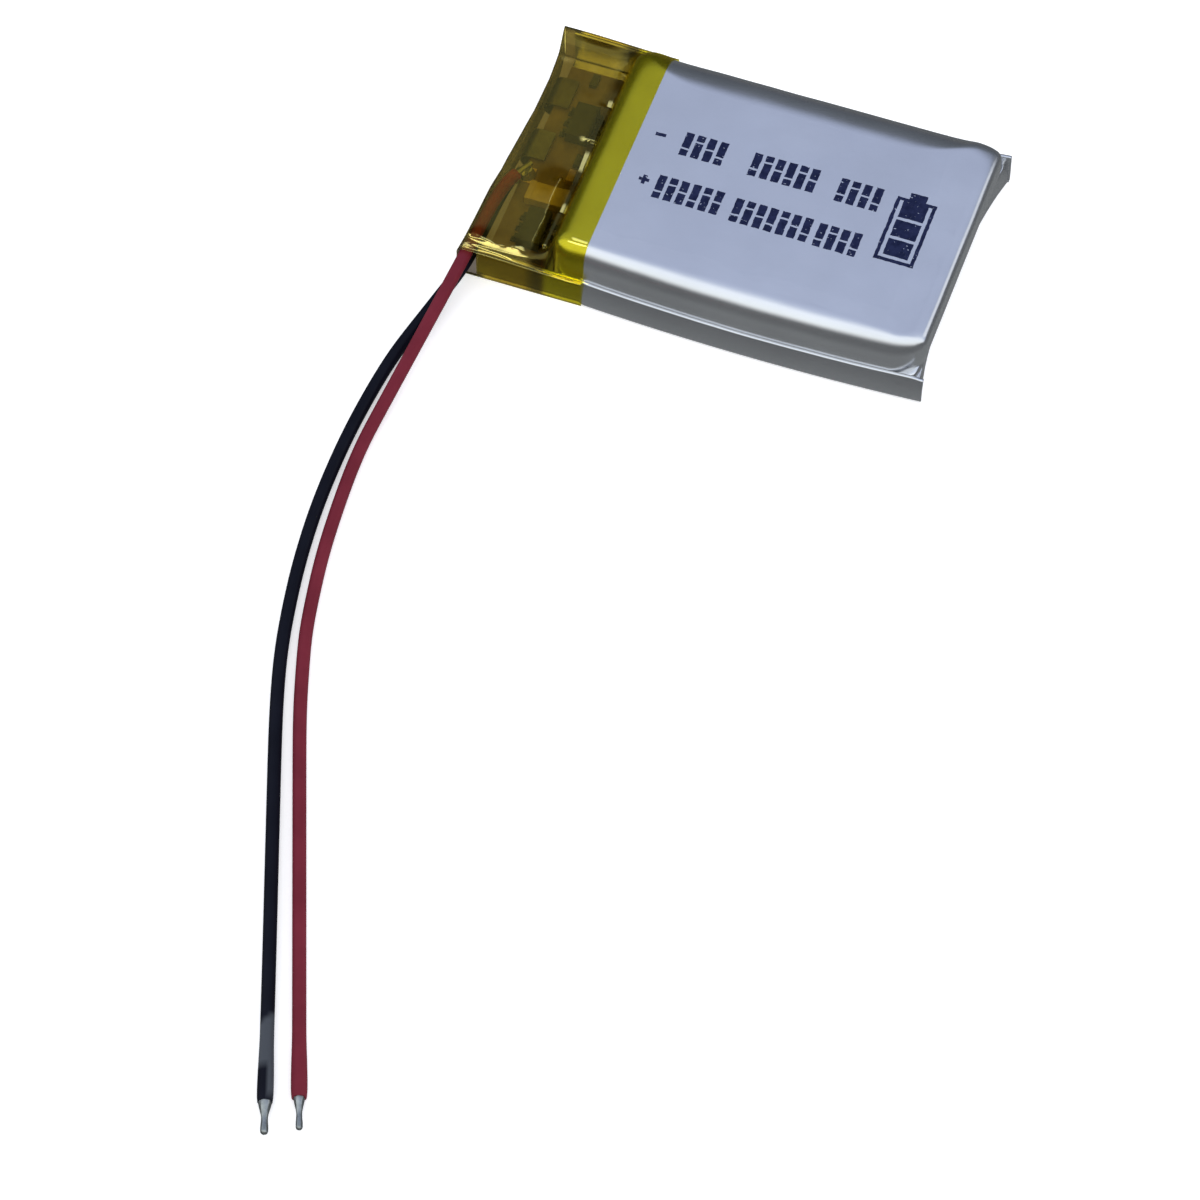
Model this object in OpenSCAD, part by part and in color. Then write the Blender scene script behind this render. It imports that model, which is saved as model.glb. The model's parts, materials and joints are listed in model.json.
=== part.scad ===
// Soft-pack (pouch) battery cell with its protection board under a wrap of amber film
// and two flying leads. X runs along the cell with the leads at -X, Y runs across it,
// Z is up, and the origin is the middle of the flat back. All lengths in millimetres.

/* [Pouch] */
// Length from the head end of the wrap to the corner ears of the side seals
cell_l = 32; // [32:1:50]
// Width over the folded side seals
cell_w = 20; // [20:1:34]
// Thickness of the bare cell, back to printed face
cell_t = 5.0; // [5.0:0.1:6.0]
// Thickness of the laminated pouch film
film_t = 0.11; // [0.09:0.01:0.12]
// Depth of the head recess that takes the circuit board
recess_l = 5.2; // [5.2:0.1:6.0]
// Height of the side seals where they stand against the cell
seal_h = 2.5; // [2.3:0.1:3.0]
// How far the seal ears stand past the foot of the cell
ear_l = 0.8; // [0.4:0.1:1.2]
// Radius along the top edges of the cup
edge_r = 1.1; // [0.6:0.1:1.3]
// Radius of the cup's corners seen from above
corner_r = 1.7; // [1.5:0.1:2.0]

/* [Winding] */
// Number of turns in the flat winding
wind_turns = 5; // [2:1:5]
// Thickness of the coated copper sheet
anode_t = 0.15; // [0.08:0.01:0.15]
// Thickness of the coated aluminium sheet
cathode_t = 0.14; // [0.08:0.01:0.14]
// Thickness of each separator film
separator_t = 0.03; // [0.02:0.005:0.03]

/* [Tabs and board] */
// Width of the two cell tabs
tab_w = 2.5; // [2.0:0.1:3.0]
// Thickness of the cell tabs
tab_t = 0.08; // [0.06:0.01:0.10]
// Distance between the middles of the tabs
tab_pitch = 4.8; // [4.4:0.1:4.9]
// Length of the circuit board across the cell
board_l = 16.5; // [16.0:0.1:17.4]
// Thickness of the circuit board
board_t = 0.6; // [0.5:0.05:0.6]

/* [Wrap] */
// Width of the amber film wrap along the cell
wrap_l = 8.0; // [7.5:0.1:10]
// Thickness of the wrap
wrap_t = 0.06; // [0.05:0.005:0.07]

/* [Leads] */
// Diameter over a lead's insulation
lead_d = 0.9; // [0.7:0.05:0.9]
// Diameter of a lead's tinned conductor
core_d = 0.44; // [0.3:0.02:0.46]
// Diameter of the tinned, tapered end of each conductor
tip_d = 0.5; // [0.48:0.01:0.56]
// Length of bare conductor at each free end
bare_l = 2.2; // [1.8:0.1:4]
// Radius of the long bend the leads lie in
bend_r = 62; // [50:1:80]
// Angle of the red lead's long bend
red_turn = 20; // [15:1:24]
// Angle of the black lead's long bend
black_turn = 28; // [24:1:30]
// Straight length of the red lead after its long bend
red_end_l = 28; // [10:1:40]
// Straight length of the black lead after its long bend
black_end_l = 19.5; // [10:0.5:30]

/* [Display] */
// Which piece to draw

/* [Hidden] */
$fn = 48;
// Clear gap left between neighbouring pieces
gap = 0.01;
// Length the leads and cuts run past what they meet
past = 0.5;

// Film edges and the cup's walls
head_x = -cell_l / 2 + 0.4;
foot_x = cell_l / 2;
cup_head_x = head_x + recess_l - 0.4;
cup_foot_x = foot_x - ear_l;
seal_y = cell_w / 2;
cup_y = seal_y - 0.34;
// Back film is stepped up under the wrap so the whole back stays flat
step_z = wrap_t + 2 * gap;
step_x = -cell_l / 2 + 7.9;
terrace_z = step_z + film_t + gap;

// Winding: flat spiral of four sheets about two centres
anode_r = 0.10;
sheet_gap = 0.0125;
separator_a_r = anode_r + anode_t + sheet_gap;
cathode_r = separator_a_r + separator_t + sheet_gap;
separator_b_r = cathode_r + cathode_t + sheet_gap;
wind_pitch = separator_b_r + separator_t + sheet_gap - anode_r;
wind_floor_gap = 0.03;
wind_z = step_z + film_t + wind_floor_gap + anode_r + wind_pitch * (wind_turns + 1);
wind_side_gap = 0.3;
wind_centre_y = cup_y - film_t - wind_side_gap - anode_r - wind_pitch * (wind_turns + 0.5);
electrode_head_x = cup_head_x + 1.4;
electrode_foot_x = cup_foot_x - corner_r + 0.55;
cathode_short = 0.3;
separator_over = 0.3;
closing_t = 0.04;
closing_l = 10;
closing_gap = 0.005;
closing_flat = 3;

// Tabs: out of the winding, down, through the head seal and back over the board
tab_bend_r = 0.25;
tab_y_near = 0.9;
tab_y_far = tab_y_near + tab_pitch;
sealant_t = 0.26;
sealant_over = 0.5;
sealant_l = 3.2;
sealant_x = head_x + 0.7;
tab_low_z = terrace_z + sealant_t / 2 + gap;
tab_mid_z = wind_z - wind_pitch / 2;
tab_in_wind = 3;
tab_out_x = head_x + 0.25;
tab_down_x = cup_head_x + film_t + 0.2;
tab_end_l = 1.1;

// Head seal, insulator and board, from the bottom up
bump_z = terrace_z + sealant_t + film_t + 2 * gap;
board_x = head_x + 0.3;
board_w = 4.0;
insulator_t = 0.1;
insulator_over = 0.1;
insulator_side = 0.3;
insulator_z = bump_z + gap;
board_z = insulator_z + insulator_t + gap;
board_top = board_z + board_t;
pad_t = 0.035;
plate_t = 0.15;
pad_z = board_top + gap;
plate_z = pad_z + pad_t + gap;
tab_fold_r = (plate_z + plate_t + gap + tab_t / 2 - tab_low_z) / 2;
plate_l = 1.05;
plate_w = 2.2;
plate_in = 0.1;
lead_pad = [1.0, 1.3];

// Chips
sot_l = 2.9;
sot_w = 1.6;
sot_h = 1.0;
sot_leg_span = 2.7;
sot_leg_w = 0.35;
sot_leg_t = 0.12;
sot_leg_pitch = 0.95;
sot_foot_l = 0.3;
sot_bend_z = 0.54;
sot_stand = 0.08;
protection_at = [board_x + 2.55, 3.3];
mosfet_at = [board_x + 2.5, -6.3];
fuse_size = [2.8, 1.6, 0.7];
fuse_cap_l = 0.4;
cap_step = 0.03;
fuse_at = [board_x + 2.35, -3.3];
chip_size = [0.5, 1.0, 0.35];
chip_cap_l = 0.22;
resistor_at = [[board_x + 3.3, 0.4], [board_x + 2.0, 7.4]];
capacitor_at = [board_x + 3.3, -1.1];
capacitor_h = 0.5;

// Wrap
wrap_fit = 2 * gap;
wrap_foot_x = -cell_l / 2 + wrap_l - 0.1;
wrap_head_x = -cell_l / 2 - 0.28;
wrap_head_z = 2.6;
// Side view of the wrap's top over the recess, as [past the head edge, rise] steps
wrap_slope = [[0, 0], [0.3, 0.12], [2.9, 0.3]];
wrap_dip = [0.7, 1.0];
wrap_wall = 0.08;
wire_bulge_x = -cell_l / 2 - 0.92;
wire_bulge_y = -3.6;
wire_bulge_z = 2.4;
wire_bulge_low_z = 0.4;
wire_mouth_y = -seal_y + 1.0;
wire_mouth_x = head_x - 0.02;
wire_mouth_z = 0.38;

// Leads: root under the wrap, sloping middle, and long free end on the table
lead_r = lead_d / 2;
core_r = core_d / 2;
bore_r = core_r + gap;
tip_r = tip_d / 2;
bead_r = tip_r + 0.09;
bead_l = 0.65;
taper_l = 0.25;
lie_z = lead_r + gap;
exit_x = -cell_l / 2 - 0.45;
exit_y = -seal_y - 0.2;
red_exit = [exit_x, exit_y, 1.93];
black_exit = [exit_x, exit_y, 0.93];
red_knee = [exit_x - 1.35, exit_y - 15.3, lie_z];
black_knee = [exit_x - 1.9, exit_y - 7.8, lie_z];
red_knee_heading = -90;
black_knee_heading = -98;
red_pad_at = [board_x + 0.4, -1.1, red_exit[2]];
black_pad_at = [board_x - 0.42, -1.1, black_exit[2]];
red_joint_at = [red_pad_at[0] - 0.1, red_pad_at[1] - 0.6];
black_joint_y = black_pad_at[1] - 0.65;
strip_l = 1.5;
black_hook_turn = -18;
hook_lap = 0.1;
black_hook_l = 8;
ball_clear = lead_r + gap;
core_stop = 0.3;
solder_r = 0.62;
solder_top_r = 0.36;
solder_h = 0.62;
edge_solder = [0.34, 1.0, 0.46];

// Printing
ink_t = 0.02;
ink_z = cell_t + gap;
block_w = 0.56;
block_h = 2.0;
block_pitch = 0.82;
block_slit = 0.16;
stroke = 0.26;
sign_l = 0.75;
// Rows of printed blocks, as [first x, middle y, how many blocks]
print_groups = [[-4.95, 1.7, 4], [0.0, 1.6, 6], [6.2, 1.5, 4], [-5.5, -2.35, 6],
  [0.05, -2.5, 7], [6.0, -2.6, 4]];
minus_at = [-6.6, 1.9];
plus_at = [-6.4, -2.1];
// Cell pictogram: an upright outline with a nub on top and level bars inside
icon_low = [10.2, -3.2];
icon_high = [13.0, 2.3];
icon_nub = [1.2, 0.55];
icon_bars = 3;

// ---- shared shapes ----

// Upright slab with its two top edges rounded, centred on x = 0
module rounded_top(w, h, r) {
  translate([-w / 2, 0]) square([w, h - r]);
  translate([-w / 2 + r, 0]) square([w - 2 * r, h]);
  for (s = [-1, 1]) translate([s * (w / 2 - r), h - r]) circle(r = r);
}

// Drawn tray shape: corners round in plan, top edge rounded all round
module tray(x0, x1, half_w, z0, z1, plan_r, top_r) {
  h = z1 - z0;
  translate([0, 0, z0]) {
    translate([x0 + plan_r, 0, 0]) rotate([90, 0, 90])
      linear_extrude(x1 - x0 - 2 * plan_r) rounded_top(2 * half_w, h, top_r);
    translate([(x0 + x1) / 2, half_w - plan_r, 0]) rotate([90, 0, 0])
      linear_extrude(2 * (half_w - plan_r)) rounded_top(x1 - x0, h, top_r);
    for (x = [x0 + plan_r, x1 - plan_r], y = [-1, 1] * (half_w - plan_r))
      translate([x, y, 0]) rotate_extrude() intersection() {
        rounded_top(2 * plan_r, h, top_r);
        square([plan_r, h]);
      }
  }
}

// The cup's outside, grown all round
module cup_form(grow, z0) {
  tray(cup_head_x - grow, cup_foot_x + grow, cup_y + grow, z0, cell_t + grow,
    corner_r + grow, edge_r + grow);
}

// Box from one corner to the other
module block(lo, hi) { translate(lo) cube(hi - lo); }

// One sheet of the flat spiral, seen from the head end
module wound_profile(start_r, t) {
  for (k = [0 : wind_turns - 1]) {
    r = start_r + k * wind_pitch;
    half_ring(wind_centre_y, 0, r, t, 1);
    translate([-wind_centre_y, r]) square([2 * wind_centre_y, t]);
    half_ring(-wind_centre_y, -wind_pitch / 2, r + wind_pitch / 2, t, -1);
    translate([-wind_centre_y, -r - wind_pitch - t]) square([2 * wind_centre_y, t]);
  }
}

module half_ring(y, z, r, t, side) {
  reach = r + t;
  translate([y, z]) intersection() {
    difference() { circle(r = reach); circle(r = r); }
    translate([side > 0 ? 0 : -reach, -reach]) square([reach, 2 * reach]);
  }
}

module wound_sheet(start_r, t, x0, x1) {
  translate([x0, 0, wind_z]) rotate([90, 0, 90]) linear_extrude(x1 - x0)
    wound_profile(start_r, t);
}

// Flat strip drawn as a path: a straight run, then whatever follows it
module strip_run(len) {
  translate([0, -tab_t / 2]) square([len, tab_t]);
  translate([len, 0]) children();
}

// Strip bend of whole quarter turns, left when positive
module strip_turn(r, quarters) {
  side = sign(quarters);
  reach = r + tab_t;
  mirror([0, side < 0 ? 1 : 0]) translate([0, r]) intersection() {
    difference() { circle(r = r + tab_t / 2); circle(r = r - tab_t / 2); }
    translate([0, -reach]) square([reach, abs(quarters) * reach]);
  }
  translate([0, side * r]) rotate(90 * quarters) translate([0, -side * r]) children();
}

module tab_strip(y) {
  drop = tab_mid_z - tab_low_z - 2 * tab_bend_r;
  translate([electrode_head_x + tab_in_wind, y, tab_mid_z]) rotate([90, 0, 0])
    linear_extrude(tab_w, center = true) rotate(180)
      strip_run(electrode_head_x + tab_in_wind - tab_down_x - tab_bend_r)
        strip_turn(tab_bend_r, 1)
          strip_run(drop)
            strip_turn(tab_bend_r, -1)
              strip_run(tab_down_x - tab_bend_r - tab_out_x)
                strip_turn(tab_fold_r, -2)
                  strip_run(tab_end_l);
}

// Sealant strip round a tab where it passes the head seal
module tab_sealant(y) {
  difference() {
    block([sealant_x, y - tab_w / 2 - sealant_over, terrace_z],
      [sealant_x + sealant_l, y + tab_w / 2 + sealant_over, terrace_z + sealant_t]);
    block([sealant_x - past, y - tab_w / 2 - gap, tab_low_z - tab_t / 2 - gap],
      [sealant_x + sealant_l + past, y + tab_w / 2 + gap, tab_low_z + tab_t / 2 + gap]);
  }
}

// Six-legged moulded chip
module chip_package(at) {
  z0 = pad_z;
  translate([at[0], at[1], z0]) {
    block([-sot_w / 2, -sot_l / 2, sot_stand], [sot_w / 2, sot_l / 2, sot_h]);
    for (side = [-1, 1], k = [-1 : 1]) translate([0, k * sot_leg_pitch, 0]) {
      foot = side * (sot_leg_span - sot_foot_l) / 2;
      shin = foot - side * sot_foot_l / 2;
      knee_z = sot_bend_z + sot_leg_t / 2;
      translate([foot, 0, sot_leg_t / 2])
        cube([sot_foot_l, sot_leg_w, sot_leg_t], center = true);
      translate([shin, 0, knee_z / 2]) cube([sot_leg_t, sot_leg_w, knee_z], center = true);
      translate([(shin + side * sot_w / 2) / 2, 0, sot_bend_z])
        cube([abs(shin) - sot_w / 2 + sot_leg_t, sot_leg_w, sot_leg_t], center = true);
    }
  }
}

// Small two-ended chip with plated ends
module end_capped_chip(at, h) {
  translate([at[0], at[1], pad_z]) {
    block([-chip_size[0] / 2, -chip_size[1] / 2 + chip_cap_l, cap_step],
      [chip_size[0] / 2, chip_size[1] / 2 - chip_cap_l, h - cap_step]);
    for (s = [-1, 1]) translate([0, s * (chip_size[1] - chip_cap_l) / 2, h / 2])
      cube([chip_size[0], chip_cap_l, h], center = true);
  }
}

// Straight length of a lead along +X
module wire_run(len, r) {
  rotate([90, 0, 90]) linear_extrude(len) rotate(180) circle(r = r);
}

// Solder bead at the end of the insulation, then the tinned tip with a tapered end
module tinned_tip() {
  shaft_l = bare_l - bead_l - taper_l;
  rotate([0, 90, 0]) rotate_extrude()
    polygon([[0, gap], [core_r + gap, gap], [bead_r, bead_l / 2], [tip_r, bead_l],
      [tip_r, bead_l + shaft_l], [tip_r / 2, bare_l], [0, bare_l]]);
}

// Long left-hand bend, then a straight length from where it ends. The bend is
// drawn backwards from that point.
module bent_run(knee, heading, turn, len, r) {
  translate(knee) rotate([0, 0, heading]) translate([ball_clear, bend_r, 0])
    rotate([0, 0, turn]) translate([0, -bend_r, 0]) {
      mirror([1, 0, 0]) translate([0, bend_r, 0]) rotate([0, 0, -90])
        rotate_extrude(angle = turn) translate([bend_r, 0]) circle(r = r);
      wire_run(len, r);
      translate([len, 0, 0]) children();
    }
}

// Places a lead piece at one point, aimed at another
module aimed(from, to) {
  d = to - from;
  translate(from) rotate([0, atan2(-d[2], norm([d[0], d[1]])), atan2(d[1], d[0])]) children();
}

// Straight insulation from one point to a ball at the next
module ball_insulation(from, to, start) {
  len = norm(to - from);
  aimed(from, to) difference() {
    union() {
      translate([start, 0, 0]) wire_run(len - start, lead_r);
      translate([len, 0, 0]) sphere(r = lead_r);
    }
    wire_run(len + lead_r + past, bore_r);
  }
}

module straight_core(from, to, start) {
  aimed(from, to) translate([start, 0, 0]) wire_run(norm(to - from) - start + core_stop, core_r);
}

module red_end_path(r, extra) {
  bent_run(red_knee, red_knee_heading, red_turn, red_end_l + extra, r)
    translate([-extra, 0, 0]) children();
}

module black_end_path(r, extra) {
  bent_run(black_knee, black_knee_heading, black_turn, black_end_l, r)
    rotate([0, 0, black_hook_turn]) {
      translate([-hook_lap, 0, 0]) wire_run(hook_lap + black_hook_l + extra, r);
      translate([black_hook_l, 0, 0]) children();
    }
}

// Flat patch of ink from one corner to the other
module patch(lo, hi) { block([lo[0], lo[1], ink_z], [hi[0], hi[1], ink_z + ink_t]); }

// One printed block with a slit across it, higher or lower from block to block
module print_block(x, y, k) {
  slit_y = y + ((k * 2) % 3 - 1) * block_h / 5;
  patch([x, y - block_h / 2], [x + block_w, slit_y - block_slit / 2]);
  patch([x, slit_y + block_slit / 2], [x + block_w, y + block_h / 2]);
}

module cell_pictogram() {
  mid_x = (icon_low[0] + icon_high[0]) / 2;
  bar_h = (icon_high[1] - icon_low[1] - 2 * stroke) / icon_bars;
  for (x = [icon_low[0], icon_high[0] - stroke]) patch([x, icon_low[1]], [x + stroke, icon_high[1]]);
  for (y = [icon_low[1], icon_high[1] - stroke]) patch([icon_low[0], y], [icon_high[0], y + stroke]);
  patch([mid_x - icon_nub[0] / 2, icon_high[1] - stroke / 2],
    [mid_x + icon_nub[0] / 2, icon_high[1] + icon_nub[1]]);
  for (k = [0 : icon_bars - 1]) {
    low_y = icon_low[1] + stroke + k * bar_h;
    patch([icon_low[0] + 2 * stroke, low_y + stroke], [icon_high[0] - 2 * stroke, low_y + bar_h]);
  }
}

// ---- pieces ----

module pouch_cup() color("silver") difference() {
  union() {
    cup_form(0, terrace_z);
    block([head_x, -cup_y - film_t, terrace_z], [cup_foot_x, cup_y + film_t, terrace_z + film_t]);
    for (y = [tab_y_near, tab_y_far])
      block([head_x, y - tab_w / 2 - sealant_over - film_t, terrace_z],
        [cup_head_x + film_t, y + tab_w / 2 + sealant_over + film_t, bump_z]);
    for (s = [-1, 1]) {
      inner = seal_y - 2 * film_t - gap;
      block([head_x, s > 0 ? cup_y : -inner - film_t, terrace_z],
        [cup_foot_x, s > 0 ? inner + film_t : -cup_y, terrace_z + film_t]);
      block([head_x, s > 0 ? inner : -inner - film_t, terrace_z],
        [foot_x, s > 0 ? inner + film_t : -inner, seal_h]);
    }
  }
  tray(cup_head_x + film_t, cup_foot_x - film_t, cup_y - film_t, terrace_z - past,
    cell_t - film_t, corner_r - film_t, edge_r - film_t);
  for (y = [tab_y_near, tab_y_far])
    block([head_x - past, y - tab_w / 2 - sealant_over - gap, terrace_z - past],
      [cup_head_x + 2 * film_t, y + tab_w / 2 + sealant_over + gap, bump_z - film_t]);
}

module pouch_back_panel() color("lightsteelblue") {
  block([head_x, -seal_y, step_z], [step_x + film_t, seal_y, step_z + film_t]);
  block([step_x, -seal_y, 0], [step_x + film_t, seal_y, step_z + film_t]);
  block([step_x, -seal_y, 0], [cup_foot_x, seal_y, film_t]);
  for (s = [-1, 1]) {
    block([head_x, s > 0 ? seal_y - film_t : -seal_y, step_z],
      [foot_x, s > 0 ? seal_y : -seal_y + film_t, seal_h]);
    block([step_x, s > 0 ? seal_y - film_t : -seal_y, 0],
      [foot_x, s > 0 ? seal_y : -seal_y + film_t, seal_h]);
  }
}

module anode_winding() color("dimgray")
  wound_sheet(anode_r, anode_t, electrode_head_x, electrode_foot_x);

module cathode_winding() color("darkslategray")
  wound_sheet(cathode_r, cathode_t, electrode_head_x + cathode_short,
    electrode_foot_x - cathode_short);

module separator_inner() color("white")
  wound_sheet(separator_a_r, separator_t, electrode_head_x - separator_over,
    electrode_foot_x + separator_over);

module separator_outer() color("whitesmoke")
  wound_sheet(separator_b_r, separator_t, electrode_head_x - separator_over,
    electrode_foot_x + separator_over);

module winding_closing_tape() color("seagreen") {
  r = anode_r + wind_pitch * wind_turns + closing_gap;
  translate([(electrode_head_x + electrode_foot_x - closing_l) / 2, 0, wind_z])
    rotate([90, 0, 90]) linear_extrude(closing_l) {
      half_ring(wind_centre_y, 0, r, closing_t, 1);
      translate([wind_centre_y - closing_flat, r]) square([closing_flat, closing_t]);
    }
}

module positive_tab() color("gainsboro") tab_strip(tab_y_near);

module negative_tab() color("silver") tab_strip(tab_y_far);

module positive_tab_sealant() color("ivory") tab_sealant(tab_y_near);

module negative_tab_sealant() color("ivory") tab_sealant(tab_y_far);

module terrace_insulator() color("khaki")
  block([board_x - insulator_over, -board_l / 2 - insulator_side, insulator_z],
    [board_x + board_w, board_l / 2 + insulator_side, insulator_z + insulator_t]);

module circuit_board() color("darkgreen")
  block([board_x, -board_l / 2, board_z], [board_x + board_w, board_l / 2, board_top]);

module board_pads() color("gold") {
  for (y = [tab_y_near, tab_y_far])
    block([board_x + plate_in, y - plate_w / 2, pad_z],
      [board_x + plate_l, y + plate_w / 2, pad_z + pad_t]);
  translate([red_joint_at[0], red_joint_at[1], pad_z + pad_t / 2])
    cube([lead_pad[0], lead_pad[1], pad_t], center = true);
}

module nickel_plates() color("lightgray") for (y = [tab_y_near, tab_y_far])
  block([board_x + plate_in, y - plate_w / 2, plate_z],
    [board_x + plate_l, y + plate_w / 2, plate_z + plate_t]);

module protection_ic() color("#202022") chip_package(protection_at);

module mosfet_ic() color("#202022") chip_package(mosfet_at);

module resettable_fuse() color("wheat") translate([fuse_at[0], fuse_at[1], pad_z]) {
  block([-fuse_size[0] / 2 + fuse_cap_l, -fuse_size[1] / 2 + cap_step, cap_step],
    [fuse_size[0] / 2 - fuse_cap_l, fuse_size[1] / 2 - cap_step, fuse_size[2] - cap_step]);
  for (s = [-1, 1]) translate([s * (fuse_size[0] - fuse_cap_l) / 2, 0, fuse_size[2] / 2])
    cube([fuse_cap_l, fuse_size[1], fuse_size[2]], center = true);
}

module resistors() color("#303034") for (at = resistor_at) end_capped_chip(at, chip_size[2]);

module capacitor() color("burlywood") end_capped_chip(capacitor_at, capacitor_h);

module solder_joints() color("lightgray") {
  difference() {
    translate([red_joint_at[0], red_joint_at[1], pad_z + pad_t + gap])
      cylinder(r1 = solder_r, r2 = solder_top_r, h = solder_h);
    aimed(red_pad_at, red_exit) translate([-past, 0, 0]) wire_run(strip_l + past, bore_r);
  }
  difference() {
    translate([board_x - gap - edge_solder[0] / 2, black_joint_y, black_pad_at[2]])
      cube(edge_solder, center = true);
    aimed(black_pad_at, black_exit) translate([-past, 0, 0])
      wire_run(strip_l + past, bore_r);
  }
}

// What the wrap is pulled over, grown outwards
module wrapped_form(grow) {
  intersection() {
    cup_form(grow, step_z - grow);
    block([cup_head_x - 1, -seal_y - 1, -1], [wrap_foot_x, seal_y + 1, cell_t + 1]);
  }
  block([head_x - grow, -seal_y - grow, step_z - grow],
    [wrap_foot_x, seal_y + grow, seal_h + grow]);
  rotate([90, 0, 0]) linear_extrude(2 * (cup_y + grow), center = true) translate([-grow, grow])
    polygon(concat([[wrap_head_x, step_z - 2 * grow]],
      [for (s = wrap_slope) [wrap_head_x + s[0], wrap_head_z + s[1]]],
      [[cup_head_x - wrap_dip[0], wrap_head_z + wrap_dip[1]], [cup_head_x, cell_t - edge_r],
      [cup_head_x + 2 * grow, cell_t - edge_r], [cup_head_x + 2 * grow, step_z - 2 * grow]]));
  block([wire_bulge_x + wrap_wall - grow, wire_mouth_y - 0.2, wire_bulge_low_z - grow],
    [head_x, wire_bulge_y + grow, wire_bulge_z + grow]);
}

module polyimide_wrap() color("goldenrod", 0.6) difference() {
  wrapped_form(wrap_fit + wrap_t);
  wrapped_form(wrap_fit);
  block([wrap_foot_x - gap, -seal_y - 1, wrap_t + gap / 2],
    [wrap_foot_x + 1, seal_y + 1, cell_t - 1]);
  block([wire_bulge_x - 1, -seal_y - 1, wire_mouth_z],
    [wire_mouth_x, wire_mouth_y, seal_h + 0.1]);
}

module printed_marking() color("midnightblue") {
  patch([minus_at[0] - sign_l / 2, minus_at[1] - stroke / 2],
    [minus_at[0] + sign_l / 2, minus_at[1] + stroke / 2]);
  patch([plus_at[0] - sign_l / 2, plus_at[1] - stroke / 2],
    [plus_at[0] + sign_l / 2, plus_at[1] + stroke / 2]);
  patch([plus_at[0] - stroke / 2, plus_at[1] - sign_l / 2],
    [plus_at[0] + stroke / 2, plus_at[1] + sign_l / 2]);
  for (g = print_groups, k = [0 : g[2] - 1]) print_block(g[0] + k * block_pitch, g[1], k);
  cell_pictogram();
}

module red_root_insulation() color("firebrick")
  ball_insulation(red_pad_at, red_exit, strip_l);

module red_root_core() color("lightgray") straight_core(red_pad_at, red_exit, 0);

module red_middle_insulation() color("firebrick")
  ball_insulation(red_exit, red_knee, ball_clear);

module red_middle_core() color("lightgray") straight_core(red_exit, red_knee, ball_clear);

module red_end_insulation() color("firebrick") difference() {
  red_end_path(lead_r, 0);
  red_end_path(bore_r, past);
}

module red_end_core() color("lightgray") red_end_path(core_r, bead_l / 2) tinned_tip();

module black_root_insulation() color("#26262c")
  ball_insulation(black_pad_at, black_exit, strip_l);

module black_root_core() color("lightgray") straight_core(black_pad_at, black_exit, 0);

module black_middle_insulation() color("#26262c")
  ball_insulation(black_exit, black_knee, ball_clear);

module black_middle_core() color("lightgray")
  straight_core(black_exit, black_knee, ball_clear);

module black_end_insulation() color("#26262c") difference() {
  black_end_path(lead_r, 0);
  black_end_path(bore_r, past);
}

module black_end_core() color("lightgray") black_end_path(core_r, bead_l / 2) tinned_tip();

// ---- draw ----

pouch_cup();
pouch_back_panel();
anode_winding();
cathode_winding();
separator_outer();
separator_inner();
winding_closing_tape();
positive_tab();
negative_tab();
positive_tab_sealant();
negative_tab_sealant();
terrace_insulator();
circuit_board();
board_pads();
nickel_plates();
protection_ic();
mosfet_ic();
resettable_fuse();
resistors();
capacitor();
solder_joints();
polyimide_wrap();
printed_marking();
red_root_insulation();
red_root_core();
red_middle_insulation();
red_middle_core();
red_end_insulation();
red_end_core();
black_root_insulation();
black_root_core();
black_middle_insulation();
black_middle_core();
black_end_insulation();
black_end_core();
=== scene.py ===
import json
import math

import bmesh
import bpy
import numpy as np
from mathutils import Matrix, Vector, noise


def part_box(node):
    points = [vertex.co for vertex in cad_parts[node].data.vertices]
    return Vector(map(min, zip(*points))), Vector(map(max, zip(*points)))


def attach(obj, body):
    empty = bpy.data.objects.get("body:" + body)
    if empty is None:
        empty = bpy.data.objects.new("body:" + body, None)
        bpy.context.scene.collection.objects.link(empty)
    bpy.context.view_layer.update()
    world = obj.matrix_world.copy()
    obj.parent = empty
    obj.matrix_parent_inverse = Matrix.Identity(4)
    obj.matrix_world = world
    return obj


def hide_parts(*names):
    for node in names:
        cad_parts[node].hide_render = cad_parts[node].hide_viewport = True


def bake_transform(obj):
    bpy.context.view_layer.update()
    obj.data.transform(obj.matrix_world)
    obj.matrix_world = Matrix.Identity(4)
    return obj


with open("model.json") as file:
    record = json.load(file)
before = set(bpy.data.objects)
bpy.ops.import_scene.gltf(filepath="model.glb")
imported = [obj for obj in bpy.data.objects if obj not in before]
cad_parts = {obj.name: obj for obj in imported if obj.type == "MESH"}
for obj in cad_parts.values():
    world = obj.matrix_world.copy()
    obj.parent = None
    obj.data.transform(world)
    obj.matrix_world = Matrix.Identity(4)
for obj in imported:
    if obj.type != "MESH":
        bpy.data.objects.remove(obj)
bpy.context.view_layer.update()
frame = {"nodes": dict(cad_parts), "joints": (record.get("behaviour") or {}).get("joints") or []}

# Lengths are in millimetres and angles in degrees unless a comment says otherwise.
MM = 0.001
EVEN = (1, 1, 1)
CAP_CORNERS = 8
# seeds move the noise field along its axes by these amounts
SEED_SHIFT = (7.31, 3.17, 5.77)


# ---- helpers -------------------------------------------------------------

def node_box(name):
    """Lowest and highest corner of a CAD node."""
    lo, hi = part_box(name)
    return np.array(lo) / MM, np.array(hi) / MM


def node_points(name):
    """Vertices of a CAD node."""
    data = frame["nodes"][name].data
    return np.array([v.co for v in data.vertices], float) / MM


def smooth_step(t):
    t = np.clip(t, 0.0, 1.0)
    return t * t * (3 - 2 * t)


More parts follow.
